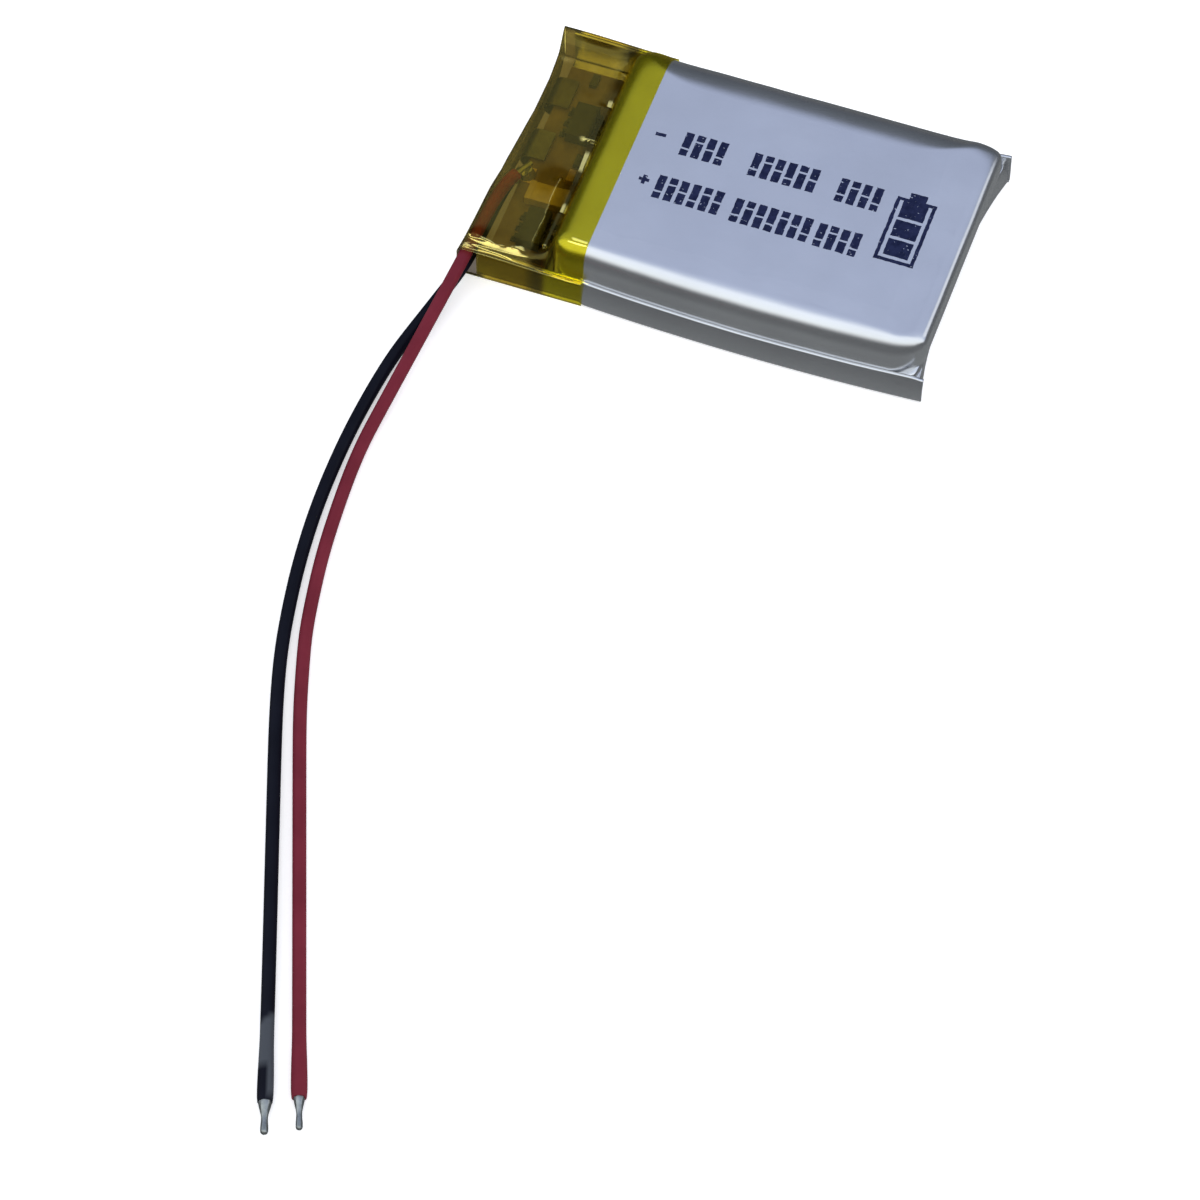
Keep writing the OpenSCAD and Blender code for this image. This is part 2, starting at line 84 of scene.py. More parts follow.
def soft_noise(points, scale, seed):
    """Smooth noise in -1..1 at points; scale is its wavelength."""
    off = Vector([seed * shift for shift in SEED_SHIFT])
    return np.array([noise.noise(Vector(p) / scale + off) for p in points])


def make_mesh(name, verts_mm, faces, material, smooth=True):
    """Add a mesh object. Many-sided faces are end caps, and get a sharp rim."""
    mesh = bpy.data.meshes.new(name)
    mesh.from_pydata([tuple(v) for v in np.asarray(verts_mm) * MM], [], faces)
    mesh.validate()
    mesh.update()
    if smooth:
        mesh.polygons.foreach_set("use_smooth", [True] * len(mesh.polygons))
    rims = {key for face in mesh.polygons if len(face.vertices) > CAP_CORNERS
            for key in face.edge_keys}
    for edge in mesh.edges:
        edge.use_edge_sharp = edge.key in rims
    mesh.materials.append(material)
    ob = bpy.data.objects.new(name, mesh)
    bpy.context.scene.collection.objects.link(ob)
    return ob


def stand_in(ob, body, node):
    """The piece rides on a body in place of a CAD node."""
    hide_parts(node)
    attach(ob, body)


def grid_faces(rows, cols, close_cols=False, start=0, flip=False):
    """Quads over a grid of points stored row after row."""
    faces = []
    last = cols if close_cols else cols - 1
    for i in range(rows - 1):
        for j in range(last):
            k = (j + 1) % cols
            f = [start + i * cols + j, start + i * cols + k,
                 start + (i + 1) * cols + k, start + (i + 1) * cols + j]
            faces.append(f[::-1] if flip else f)
    return faces


# ---- materials -----------------------------------------------------------

DRIFT_DARK, DRIFT_LIGHT = 0.3, 0.7
# name of the mesh mark where a painted sheen of light is laid
PAINTED_SHEEN_MARK = "painted_sheen"


class Nodes:
    """Short names for building the node tree of a material or world."""

    def __init__(self, owner, output="ShaderNodeOutputMaterial", coord="Object"):
        self.owner = owner
        owner.use_nodes = True
        self.tree = owner.node_tree
        self.tree.nodes.clear()
        self.out = self.tree.nodes.new(output)
        self.coord = self.tree.nodes.new("ShaderNodeTexCoord").outputs[coord]

    def new(self, kind, inputs=None, **props):
        n = self.tree.nodes.new(kind)
        for k, v in props.items():
            setattr(n, k, v)
        for k, v in (inputs or {}).items():
            if isinstance(v, bpy.types.NodeSocket):
                self.tree.links.new(v, n.inputs[k])
            else:
                n.inputs[k].default_value = v
        return n

    def noise(self, size_mm, detail=2.0, rough=0.5, stretch=EVEN):
        scaled = self.new("ShaderNodeMapping", {"Vector": self.coord, "Scale": stretch})
        return self.new("ShaderNodeTexNoise", {
            "Vector": scaled.outputs[0], "Scale": 1000.0 / size_mm,
            "Detail": detail, "Roughness": rough}).outputs["Fac"]

    def ramp(self, fac, stops):
        r = self.new("ShaderNodeValToRGB", {"Fac": fac})
        e = r.color_ramp.elements
        while len(e) < len(stops):
            e.new(0.5)
        for item, (pos, col) in zip(e, stops):
            item.position = pos
            item.color = (*col, 1)
        return r.outputs["Color"]

    def drift(self, fac, dark, light):
        return self.ramp(fac, [(DRIFT_DARK, dark), (DRIFT_LIGHT, light)])

    def span(self, fac, lo, hi):
        return self.new("ShaderNodeMapRange", {
            "Value": fac, "To Min": lo, "To Max": hi}).outputs[0]

    def step(self, value, start, end, **props):
        """0 at start, 1 at end; end may be the smaller of the two."""
        return self.new("ShaderNodeMapRange", {
            "Value": value, "From Min": start, "From Max": end}, **props).outputs[0]

    def maths(self, kind, *values):
        return self.new("ShaderNodeMath", dict(enumerate(values)), operation=kind).outputs[0]

    def dot(self, a, b):
        return self.new("ShaderNodeVectorMath", {0: a, 1: b},
                        operation="DOT_PRODUCT").outputs["Value"]

    def blend(self, fac, a, b):
        return self.new("ShaderNodeMix", {0: fac, 6: a, 7: b}, data_type="RGBA").outputs[2]

    def axes(self, vector):
        return self.new("ShaderNodeSeparateXYZ", {0: vector}).outputs

    def bump(self, height, depth_mm, after=None):
        ins = {"Height": height, "Distance": depth_mm * MM, "Strength": 1.0}
        if after is not None:
            ins["Normal"] = after
        return self.new("ShaderNodeBump", ins).outputs[0]

    def mix_shader(self, fac, a, b):
        return self.new("ShaderNodeMixShader", {0: fac, 1: a.outputs[0], 2: b.outputs[0]})

    def finish(self, shader):
        self.tree.links.new(shader.outputs[0], self.out.inputs["Surface"])
        return self.owner


def new_material(name):
    return Nodes(bpy.data.materials.new(name))


def principled(name, dark, light, patch_mm, rough, metal, bumps, sheen_tone=None, **extra):
    """Surface whose colour drifts between two tones, with roughness drift and bumps given
    as (size, depth, stretch). It turns to the sheen tone, a painted sheen, where the mesh
    carries the painted sheen mark."""
    m = new_material(name)
    colour = m.drift(m.noise(patch_mm, 4.0, 0.55), dark, light)
    if sheen_tone is not None:
        mark = m.new("ShaderNodeAttribute", attribute_name=PAINTED_SHEEN_MARK).outputs["Fac"]
        colour = m.new("ShaderNodeMixRGB", {
            "Fac": mark, "Color1": colour, "Color2": (*sheen_tone, 1)}).outputs["Color"]
    normal = None
    for size_mm, depth_mm, stretch in bumps:
        normal = m.bump(m.noise(size_mm, 3.0, 0.5, stretch), depth_mm, after=normal)
    return m.finish(m.new("ShaderNodeBsdfPrincipled", {
        "Base Color": colour, "Metallic": metal, "Normal": normal,
        "Roughness": m.span(m.noise(patch_mm * 0.6, 3.0), *rough), **extra}))


# tones of the film where it is one layer, two layers, painted shade in the valley at the
# foot of the tray, and lapped thickest at the bottom and the head edge
FILM_SINGLE = (0.925, 0.885, 0.30), (0.945, 0.910, 0.34)
FILM_DOUBLE = (0.85, 0.755, 0.36), (0.925, 0.845, 0.42)
FILM_VALLEY_SHADE = (0.63, 0.57, 0.36, 1)
FILM_LAPPED = (0.32, 0.28, 0.24, 1)
# where those tones fade in, in metres
VALLEY_SHADE_IN, VALLEY_SHADE_OUT = (-0.0122, -0.0115), (-0.0106, -0.0110)
SINGLE_IN = (-0.0111, -0.0106)
BOTTOM_IN, FAR_EDGE_IN, HEAD_IN = (0.0004, 0.0002), (0.0098, 0.0101), (-0.0150, -0.0154)
UPRIGHT_IN = (0.5, 0.7)
# painted highlights: two lamps that are not in the scene, mirrored by creases: a strip along
# the head and a round one above
PAINTED_STRIP_TURN, PAINTED_STRIP_TILT = 0.05, (0.11, 0.04)
PAINTED_STRIP_AT, PAINTED_STRIP_REACH = 0.19, (0.40, 0.28)
PAINTED_LAMP_WAY, PAINTED_LAMP_SPREAD = (-0.19, 0.36, 0.91), (0.987, 0.997)
PAINTED_GLEAM_IN = (0.0080, 0.0065)
GLOSS_TINT, PAINTED_GLEAM_TINT = (0.95, 0.86, 0.30, 1), (12.0, 10.6, 4.2, 1)
SHEEN_POWER, SHEEN = 4.0, (0.045, 0.9)


def amber_film():
    """Thin clear amber film: tinted see-through body with a glossy face."""
    m = new_material("amber_film")
    axes = m.axes(m.coord)
    shape = m.new("ShaderNodeNewGeometry").outputs
    single = m.drift(m.noise(4.0, 3.0), *FILM_SINGLE)
    double = m.drift(m.noise(3.0, 3.0), *FILM_DOUBLE)
    # painted shade: a darker band of film where it is stuck down in the valley beside the raised
    # tray
    rim = m.maths("MULTIPLY", m.step(axes["X"], *VALLEY_SHADE_IN), m.step(axes["X"], *VALLEY_SHADE_OUT))
    tone = m.blend(m.step(axes["X"], *SINGLE_IN), m.blend(rim, double, FILM_VALLEY_SHADE), single)
    upright = m.step(m.maths("ABSOLUTE", m.axes(shape["Normal"])["X"]), *UPRIGHT_IN)
    low = m.maths("MAXIMUM", m.step(axes["Z"], *BOTTOM_IN), upright)
    low = m.maths("MAXIMUM", low, m.step(axes["Y"], *FAR_EDGE_IN))
    tone = m.blend(m.maths("MULTIPLY", low, m.step(axes["X"], *HEAD_IN)), tone, FILM_LAPPED)
    normal = m.bump(m.noise(1.4), 0.008)
    normal = m.bump(m.noise(0.35), 0.0006, after=normal)
    # painted highlights: creases whose reflection points at those two painted lamps gleam much
    # more than the rest
    ray = m.new("ShaderNodeVectorMath", {0: shape["Incoming"], "Scale": -1.0},
                operation="SCALE").outputs[0]
    ray = m.new("ShaderNodeVectorMath", {0: ray, 1: normal}, operation="REFLECT").outputs[0]
    way = m.axes(ray)
    tilt = m.maths("ADD", m.maths("ARCTAN2", way["Y"], way["Z"]), PAINTED_STRIP_TURN)
    off = m.maths("ABSOLUTE", m.maths("ADD", way["X"], PAINTED_STRIP_AT))
    strip = m.maths("MULTIPLY", m.step(m.maths("ABSOLUTE", tilt), *PAINTED_STRIP_TILT),
                    m.step(off, *PAINTED_STRIP_REACH))
    lamp_glint = m.step(m.dot(ray, Vector(PAINTED_LAMP_WAY).normalized()), *PAINTED_LAMP_SPREAD)
    painted_gleam = m.maths("MULTIPLY", m.maths("MAXIMUM", strip, lamp_glint), m.step(axes["Y"], *PAINTED_GLEAM_IN))
    clear = m.new("ShaderNodeBsdfTransparent", {"Color": tone})
    gloss = m.new("ShaderNodeBsdfGlossy", {
        "Color": m.blend(painted_gleam, GLOSS_TINT, PAINTED_GLEAM_TINT), "Normal": normal,
        "Roughness": m.span(m.noise(2.0), 0.05, 0.12)})
    # the same sheen from both faces of the film: low face on, high at a glancing angle
    facing = m.new("ShaderNodeLayerWeight", {"Blend": 0.5, "Normal": normal})
    sheen = m.maths("POWER", facing.outputs["Facing"], SHEEN_POWER)
    return m.finish(m.mix_shader(m.span(sheen, *SHEEN), clear, gloss))


def ink():
    """Dark blue print with the small gaps of jetted dots."""
    m = new_material("jet_ink")
    body = m.new("ShaderNodeBsdfPrincipled", {
        "Base Color": m.drift(m.noise(0.4), (0.006, 0.010, 0.040), (0.016, 0.022, 0.070)),
        "Roughness": m.span(m.noise(0.3), 0.45, 0.65), "Specular IOR Level": 0.08})
    gaps = m.ramp(m.noise(0.16, 1.0), [(0.27, (1, 1, 1)), (0.32, (0, 0, 0))])
    return m.finish(m.mix_shader(gaps, body, m.new("ShaderNodeBsdfTransparent")))


def pvc(name, dark, light, sheen_tone=None):
    return principled(name, dark, light, 3.0, (0.34, 0.46), 0.0,
                      ((0.25, 0.003, EVEN), (1.8, 0.012, EVEN)), sheen_tone,
                      **{"Specular IOR Level": 0.09})


def plain(name, dark, light, patch_mm, rough, metal, size_mm, depth_mm, stretch=EVEN):
    return principled(name, dark, light, patch_mm, rough, metal,
                      ((size_mm, depth_mm, stretch),))


LAMINATE = principled("pouch_laminate", (0.62, 0.63, 0.65), (0.68, 0.69, 0.71), 7.0,
                      (0.20, 0.30), 0.94, ((0.35, 0.0015, EVEN), (2.5, 0.010, EVEN)))
AMBER = amber_film()
RED = pvc("red_pvc", (0.142, 0.0145, 0.027), (0.182, 0.020, 0.036))
# the last tone is a painted sheen, laid on the end of the lead
BLACK = pvc("black_pvc", (0.0030, 0.0036, 0.0085), (0.0055, 0.0065, 0.0135),
            (0.064, 0.072, 0.086))
TINNED = plain("tinned_copper", (0.22, 0.24, 0.232), (0.40, 0.42, 0.41), 0.5,
               (0.28, 0.45), 0.95, 0.12, 0.01)
SOLDER = plain("solder", (0.45, 0.45, 0.44), (0.66, 0.66, 0.65), 0.4, (0.2, 0.4), 0.95,
               0.3, 0.02)
NICKEL = plain("nickel", (0.10, 0.09, 0.07), (0.17, 0.155, 0.12), 1.2, (0.3, 0.45), 0.95,
               0.08, 0.004, (0.1, 1, 1))
ALUMINIUM = plain("aluminium_strip", (0.15, 0.15, 0.145), (0.24, 0.24, 0.235), 1.2,
                  (0.25, 0.4), 0.95, 0.08, 0.004, (0.1, 1, 1))
PAD = plain("gilded_pad", (0.62, 0.42, 0.18), (0.78, 0.56, 0.26), 0.5, (0.25, 0.4), 0.95,
            0.1, 0.004)
BOARD = plain("board_mask", (0.10, 0.068, 0.026), (0.16, 0.110, 0.045), 1.5, (0.25, 0.4),
              0.0, 0.22, 0.01, (1, 0.2, 1))
MOULDING = plain("moulding_black", (0.008, 0.008, 0.009), (0.016, 0.016, 0.017), 0.6,
                 (0.45, 0.65), 0.0, 0.05, 0.004)
FUSE = plain("fuse_body", (0.30, 0.235, 0.11), (0.40, 0.32, 0.17), 0.7, (0.4, 0.6), 0.0,
             0.1, 0.006)
CHIP = plain("chip_glaze", (0.02, 0.02, 0.024), (0.05, 0.05, 0.055), 0.3, (0.25, 0.45),
             0.0, 0.06, 0.004)
CHIP_TAN = plain("chip_tan", (0.28, 0.19, 0.10), (0.38, 0.27, 0.15), 0.3, (0.35, 0.5),
                 0.0, 0.06, 0.004)
PAPER = plain("insulator_paper", (0.20, 0.13, 0.05), (0.30, 0.20, 0.08), 0.8, (0.7, 0.9),
              0.0, 0.12, 0.01, (1, 0.3, 1))
ANODE = plain("coated_copper", (0.018, 0.018, 0.019), (0.032, 0.032, 0.034), 0.8,
              (0.7, 0.9), 0.0, 0.05, 0.005)
CATHODE = plain("coated_aluminium", (0.010, 0.010, 0.011), (0.020, 0.020, 0.021), 0.8,
                (0.6, 0.8), 0.0, 0.05, 0.005)
SEPARATOR = plain("separator_film", (0.78, 0.78, 0.76), (0.88, 0.88, 0.87), 2.0,
                  (0.35, 0.5), 0.0, 0.6, 0.01)
CLOSING = plain("closing_tape", (0.03, 0.18, 0.10), (0.05, 0.25, 0.14), 1.5, (0.25, 0.4),
                0.0, 0.5, 0.01)
SEALANT = plain("tab_sealant", (0.70, 0.67, 0.55), (0.80, 0.77, 0.66), 1.0, (0.35, 0.5),
                0.0, 0.3, 0.01)
INK = ink()

CAD_LOOKS = {
    "anode_winding": ANODE, "cathode_winding": CATHODE, "separator_outer": SEPARATOR,
    "separator_inner": SEPARATOR, "winding_closing_tape": CLOSING,
    "positive_tab": ALUMINIUM, "negative_tab": NICKEL, "positive_tab_sealant": SEALANT,
    "negative_tab_sealant": SEALANT, "terrace_insulator": PAPER, "circuit_board": BOARD,
    "board_pads": PAD, "nickel_plates": NICKEL, "protection_ic": MOULDING,
    "mosfet_ic": MOULDING, "resettable_fuse": FUSE, "resistors": CHIP,
    "capacitor": CHIP_TAN, "solder_joints": SOLDER,
}
for node, material in CAD_LOOKS.items():
    slots = frame["nodes"][node].data.materials
    slots.clear()
    slots.append(material)


# ---- pouch ---------------------------------------------------------------

cup_lo, cup_hi = node_box("pouch_cup")
back_lo, back_hi = node_box("pouch_back_panel")
cup_points = node_points("pouch_cup")
raised = cup_points[cup_points[:, 2] > 3.0]
TRAY_X0, TRAY_X1 = raised[:, 0].min(), raised[:, 0].max()
TRAY_Y = raised[:, 1].max()
TOP_Z = cup_hi[2]
SHOULDER_POWER = 2.2
SHOULDER_MIX = 0.7
# width and drop of the rounded shoulder on each side of the raised face
SHOULDERS = {"near": (1.15, 1.6), "far": (3.2, 2.2), "foot": (0.6, 0.7), "head": (1.5, 1.3)}
RIM = 3.2
WALL_LEAN = 0.10
PLAN_R = 1.7
LEAST_R = 0.45
# points round each plan corner, and along the long and the short sides
CORNER_N, LONG_N, SHORT_N = 16, 150, 104
WALL_ROWS, RIM_ROWS = 10, 34
WALL_FOOT = cup_lo[2] - 0.12
SIDE_BULGE = 0.36
FOOT_LEAN = 0.66


def side_insets(points):
    """Distance in from the tray's four sides, in the order of SHOULDERS."""
    return np.array([TRAY_Y + points[:, 1], TRAY_Y - points[:, 1],
                     TRAY_X1 - points[:, 0], points[:, 0] - TRAY_X0]).T


def corner_inset(points):
    """Distance in from the tray's rounded outline seen from above."""
    mid_x, half_x = (TRAY_X0 + TRAY_X1) / 2, (TRAY_X1 - TRAY_X0) / 2
    qx = np.abs(points[:, 0] - mid_x) - (half_x - PLAN_R)
    qy = np.abs(points[:, 1]) - (TRAY_Y - PLAN_R)
    outside = np.hypot(np.maximum(qx, 0), np.maximum(qy, 0))
    inside = np.minimum(np.maximum(qx, qy), 0)
    return PLAN_R - outside - inside


def face_drop(points, inset):
    """How far the raised face has dropped at plan points this far in from the wall."""
    widths, drops = np.array(list(SHOULDERS.values())).T
    d = side_insets(points)
    w = np.exp(-(d - d.min(1)[:, None]) / SHOULDER_MIX)
    w /= w.sum(1)[:, None]
    t = np.clip(1 - inset / (w @ widths), 0, 1)
    return w @ drops * (1 - (1 - t ** SHOULDER_POWER) ** (1 / SHOULDER_POWER))


def ring(inset):
    """Rounded rectangle seen from above, anticlockwise from the start of one corner."""
    x0, x1, y1 = TRAY_X0 + inset, TRAY_X1 - inset, TRAY_Y - inset
    r = max(PLAN_R - inset, LEAST_R)

    def on_arc(centre, degrees):
        a = math.radians(degrees)
        return centre[0] + r * math.cos(a), centre[1] + r * math.sin(a)

    pts = []
    corners = [(x1 - r, y1 - r, 0), (x0 + r, y1 - r, 90), (x0 + r, -y1 + r, 180),
               (x1 - r, -y1 + r, 270)]
    for k, corner in enumerate(corners):
        first = corner[2]
        following = corners[(k + 1) % 4]
        pts += [on_arc(corner, first + 90 * i / CORNER_N) for i in range(CORNER_N)]
        p, q = (np.array(on_arc(corner, first + 90)),
                np.array(on_arc(following, following[2])))
        n = SHORT_N if k % 2 else LONG_N
        pts += [tuple(p + (q - p) * i / n) for i in range(n)]
    return np.column_stack([np.array(pts), np.zeros(len(pts))])


def side_bow(x):
    """How far the near side bulges outward along the cell."""
    return np.clip(1 - ((x - 4.0) / 12.0) ** 2, 0, 1)


def seal_bow(x):
    """How far the near seal stands out beyond its straight line."""
    return 0.10 * smooth_step((x + 8.4) / 0.6) + SIDE_BULGE * side_bow(x)


def dent_tray(points):
    """The film's gentle waves: slow pillowing on the face, sharper waves at the edges."""
    face_dent, edge_dent, fold_dent, wall_dent = 0.015, 0.030, 0.012, 0.05
    out = points.copy()
    x, y, z = points.T
    edge = np.exp(-((corner_inset(points) - 0.9) / 1.1) ** 2)
    high = smooth_step((z - 2.2) / 1.5)
    slow = soft_noise(points, 9.0, 1)
    quick = soft_noise(points, 3.2, 2)
    fold = soft_noise(points * np.array([0.35, 1.0, 1.0]), 1.5, 3)
    out[:, 2] -= high * (face_dent * (1 + slow) / 2 + edge * edge_dent * (1 + quick) / 2
                         + edge * fold_dent * (1 + fold) / 2)
    out[:, 0] -= smooth_step((x - TRAY_X1 + 1.0) / 0.8) * wall_dent * (
        1 + soft_noise(points, 4.5, 12)) / 2 * high
    side = np.sign(y) * (TRAY_Y - np.abs(y) < 1.0)
    out[:, 1] -= side * wall_dent * (1 + quick) / 2 * high
    out[:, 1] -= SIDE_BULGE * side_bow(x) * smooth_step((-y - TRAY_Y + 1.6) / 1.6)
    foot = smooth_step((x - TRAY_X1 + 1.6) / 1.6)
    out[:, 0] += FOOT_LEAN * foot * smooth_step((z - 0.4) / 3.0)
    return out


def build_tray():
    """Rings up the wall and over the shoulder, closed by a grid fitted into the last."""
    rings = []
    for t in np.linspace(0, 1, WALL_ROWS)[:-1]:
        row = ring(WALL_LEAN * t)
        top = TOP_Z - face_drop(row, np.zeros(len(row)))
        row[:, 2] = WALL_FOOT + (top - WALL_FOOT) * t
        rings.append(row)
    for a in np.linspace(0, 1, RIM_ROWS):
        inset = RIM * (1 - math.cos(a * math.pi / 2))
        row = ring(WALL_LEAN + inset)
        row[:, 2] = TOP_Z - face_drop(row, np.full(len(row), inset))
        rings.append(row)
    n = len(rings[0])
    verts = list(np.concatenate(rings))
    faces = grid_faces(len(rings), n, close_cols=True)
    base = (len(rings) - 1) * n
    nx, ny = LONG_N + CORNER_N, SHORT_N + CORNER_N
    loop = [base + (CORNER_N // 2 + i) % n for i in range(n)]
    # sides of the loop: far edge runs toward -x, head edge toward -y, and so on
    far = loop[0:nx + 1]
    head = loop[nx:nx + ny + 1]
    near = loop[nx + ny:2 * nx + ny + 1][::-1]
    foot = (loop[2 * nx + ny:] + [loop[0]])[::-1]
    index = {}
    for i in range(nx + 1):
        index[i, 0] = far[i]
        index[i, ny] = near[i]
    for j in range(ny + 1):
        index[nx, j] = head[j]
        index[0, j] = foot[j]
    c00, c10, c01, c11 = (verts[i] for i in (far[0], far[nx], near[0], near[nx]))
    for i in range(1, nx):
        for j in range(1, ny):
            u, v = i / nx, j / ny
            p = ((1 - v) * verts[far[i]] + v * verts[near[i]]
                 + (1 - u) * verts[foot[j]] + u * verts[head[j]]
                 - ((1 - u) * (1 - v) * c00 + u * (1 - v) * c10
                    + (1 - u) * v * c01 + u * v * c11))
            index[i, j] = len(verts)
            verts.append(p)
    for i in range(nx):
        for j in range(ny):
            faces.append([index[i, j], index[i + 1, j], index[i + 1, j + 1], index[i, j + 1]])
    faces.append(list(range(n))[::-1])
    return dent_tray(np.array(verts)), faces


def build_terrace():
    """The cup's sheet running on from the tray to the head edge, under the board."""
    rows, cols = 26, 60
    sheet = np.array([(x, y, cup_lo[2] + 0.10)
                      for x in np.linspace(cup_lo[0] + 0.05, TRAY_X0 + 0.6, rows)
                      for y in np.linspace(-9.70, 9.70, cols)])
    sheet[:, 2] += 0.012 * soft_noise(sheet, 1.6, 9)
    return sheet, grid_faces(rows, cols)


SEAL_Y = back_hi[1]
SEAL_SKIN = 0.11
SEAL_LIP = 0.23
FOLD_R = 0.28
BODY_FOOT = cup_hi[0] - 0.8
EAR_L = 1.2
# the foot fold starts to run out into an ear at this y, over this length
EAR_Y, EAR_SPAN = 4.3, 5.7
NEAR_SEAL_H, NEAR_SEAL_DIP, NEAR_SEAL_RISE = 2.20, 0.14, 0.25
FAR_SEAL_H, FAR_SEAL_RISE, FAR_HEAD_RISE = 2.50, 0.34, 0.22
STEP_X = -8.05
STEP_Z = 0.085
WRAP_START = -9.0
# the far seal rises slowly from the foot end, and both rise under the wrap
FAR_RISE_FROM, FAR_RISE_L = 14.0, 20.0
HEAD_RISE_L = 6.0


def foot_edge(y):
    """Where the back film's foot fold lies; it runs out into the ears at both sides."""
    t = np.clip((np.abs(y) - EAR_Y) / EAR_SPAN, 0, 1)
    return BODY_FOOT - 0.06 + (back_hi[0] - BODY_FOOT) * 1.04 * t ** 1.7


def step_up(verts):
    """Under the wrap the back film is stepped up so that the wrap's own film fits below."""
    out = verts.copy()
    lift = STEP_Z * (1 - smooth_step((out[:, 0] - STEP_X + 0.25) / 0.3))
    out[:, 2] += lift * (1 - smooth_step(out[:, 2] / 1.2))
    return out


def near_top(x):
    """Height of the near seal's free edge."""
    return (NEAR_SEAL_H - NEAR_SEAL_DIP * side_bow(x)
            + NEAR_SEAL_RISE * smooth_step((WRAP_START - x) / HEAD_RISE_L))


def far_top(x):
    """Height of the far seal's free edge."""
    return (FAR_SEAL_H + FAR_SEAL_RISE * smooth_step((FAR_RISE_FROM - x) / FAR_RISE_L)
            + FAR_HEAD_RISE * smooth_step((WRAP_START - x) / HEAD_RISE_L))


def flap_section(side, h, lean):
    """Outline of one standing seal: outer skin, rounded foot, inner skin, rounded lip."""
    outer, inner = [], []
    for t in np.linspace(1, 0, 26):
        z = FOLD_R + (h - FOLD_R) * t
        y = SEAL_Y - lean * t * t
        outer.append((y, z))
        inner.append((y - SEAL_LIP, z))
    for a in np.linspace(0, math.pi / 2, 8)[1:]:
        outer.append((SEAL_Y - FOLD_R + FOLD_R * math.cos(a), FOLD_R - FOLD_R * math.sin(a)))
        inner.append((SEAL_Y - FOLD_R + 0.02 + 0.05 * math.cos(a),
                      FOLD_R - (FOLD_R - SEAL_SKIN) * math.sin(a)))
    lip = [(SEAL_Y - lean - SEAL_LIP * f, h + 0.035 * math.sin(math.pi * f))
           for f in (0.8, 0.6, 0.4, 0.2)]
    return [(side * y, z) for y, z in outer + inner[::-1] + lip]


def build_flap(side):
    """One standing side seal, -1 near or 1 far, with the ear at its foot end."""
    x0, x1 = back_lo[0], back_hi[0]
    xs = np.concatenate([np.linspace(x0, x1 - EAR_L, 190),
                         np.linspace(x1 - EAR_L + 0.05, x1, 22)])
    sections = []
    for x in xs:
        p = [Vector((x, side * 4.0, 0))]
        wave = float(soft_noise(p, 4.0, 5)[0])
        fine = float(soft_noise(p, 1.1, 6)[0])
        ear = float(smooth_step((x - (x1 - EAR_L)) / EAR_L))
        ripple = 0.03 * wave
        grain = 0.010 * fine
        if side < 0:
            h = float(near_top(x)) + ripple + grain - 0.12 * ear ** 2
            lean = 0.28 + 0.02 * fine * float(smooth_step((-8.5 - x) / 6))
            bow = float(seal_bow(x))
        else:
            h = float(far_top(x)) + ripple + grain + 0.10 * ear
            lean = 0.05 + 0.04 * wave - 0.03 * ear
            bow = 0.0
        sections.append([(x, y - bow, z) for y, z in flap_section(side, h, lean)])
    n = len(sections[0])
    verts = np.array([p for row in sections for p in row])
    faces = grid_faces(len(sections), n, close_cols=True, flip=side < 0)
    for start, flip in ((0, side > 0), ((len(sections) - 1) * n, side < 0)):
        cap = [start + i for i in range(n)]
        faces.append(cap[::-1] if flip else cap)
    return verts, faces


def build_back():
    """Flat back film; its foot edge runs out into the ears, where the gussets meet it."""
    rows, cols = 150, 90
    bottom = np.array([(back_lo[0] + (foot_edge(y) - back_lo[0]) * u, y, 0.0)
                       for u in np.linspace(0, 1, rows)
                       for y in np.linspace(-SEAL_Y + FOLD_R, SEAL_Y - FOLD_R, cols)])
    bottom[:, 1] -= seal_bow(bottom[:, 0]) * smooth_step((-bottom[:, 1] - 5.0) / 4.7)
    bottom[:, 2] = 0.004 + 0.004 * soft_noise(bottom, 5.0, 14)
    top = bottom.copy()
    top[:, 2] = SEAL_SKIN
    skin = rows * cols
    faces = grid_faces(rows, cols) + grid_faces(rows, cols, start=skin, flip=True)
    edges = [((i * cols + j, (i + 1) * cols + j), flip)
             for i in range(rows - 1) for j, flip in ((0, False), (cols - 1, True))]
    edges += [((i * cols + j, i * cols + j + 1), flip)
              for i, flip in ((0, True), (rows - 1, False)) for j in range(cols - 1)]
    for (a, b), flip in edges:
        f = [a, b, b + skin, a + skin]
        faces.append(f[::-1] if flip else f)
    return np.concatenate([bottom, top]), faces


def build_gusset(side):
    """Film drawn out from the tray's corner to the ear, with a pinched crease."""
    rows, cols = 44, 30
    start_y, end_y = 3.9, SEAL_Y - 0.06
    verts = []
    for y in np.linspace(start_y, end_y, rows):
        t = (y - start_y) / (end_y - start_y)
        corner = max(y - (TRAY_Y - PLAN_R), 0)
        wall = TRAY_X1 - PLAN_R + math.sqrt(max(PLAN_R ** 2 - corner ** 2, 0.0)) - 0.02
        if y > TRAY_Y - 0.12:
            wall = TRAY_X1 - PLAN_R
        edge = float(foot_edge(y)) + 0.015
        high = 2.9 - 0.55 * smooth_step((t - 0.3) / 0.7) - (0.35 if side < 0 else 0.0) * t
        for u in np.linspace(0, 1, cols):
            x = wall + (edge - wall) * u ** 0.8
            drop = (1 - u ** (1.6 + 2.6 * t)) ** (0.75 - 0.35 * t)
            pinch = 0.55 * math.exp(-((u - 0.62 - 0.2 * (1 - t)) / 0.10) ** 2) * t ** 3
            verts.append((x, side * y, 0.02 + (high - 0.02) * drop - pinch * drop))
    verts = np.array(verts)
    verts[:, 0] += 0.02 * soft_noise(verts, 1.4, 17)
    return verts, grid_faces(rows, cols, flip=side > 0)


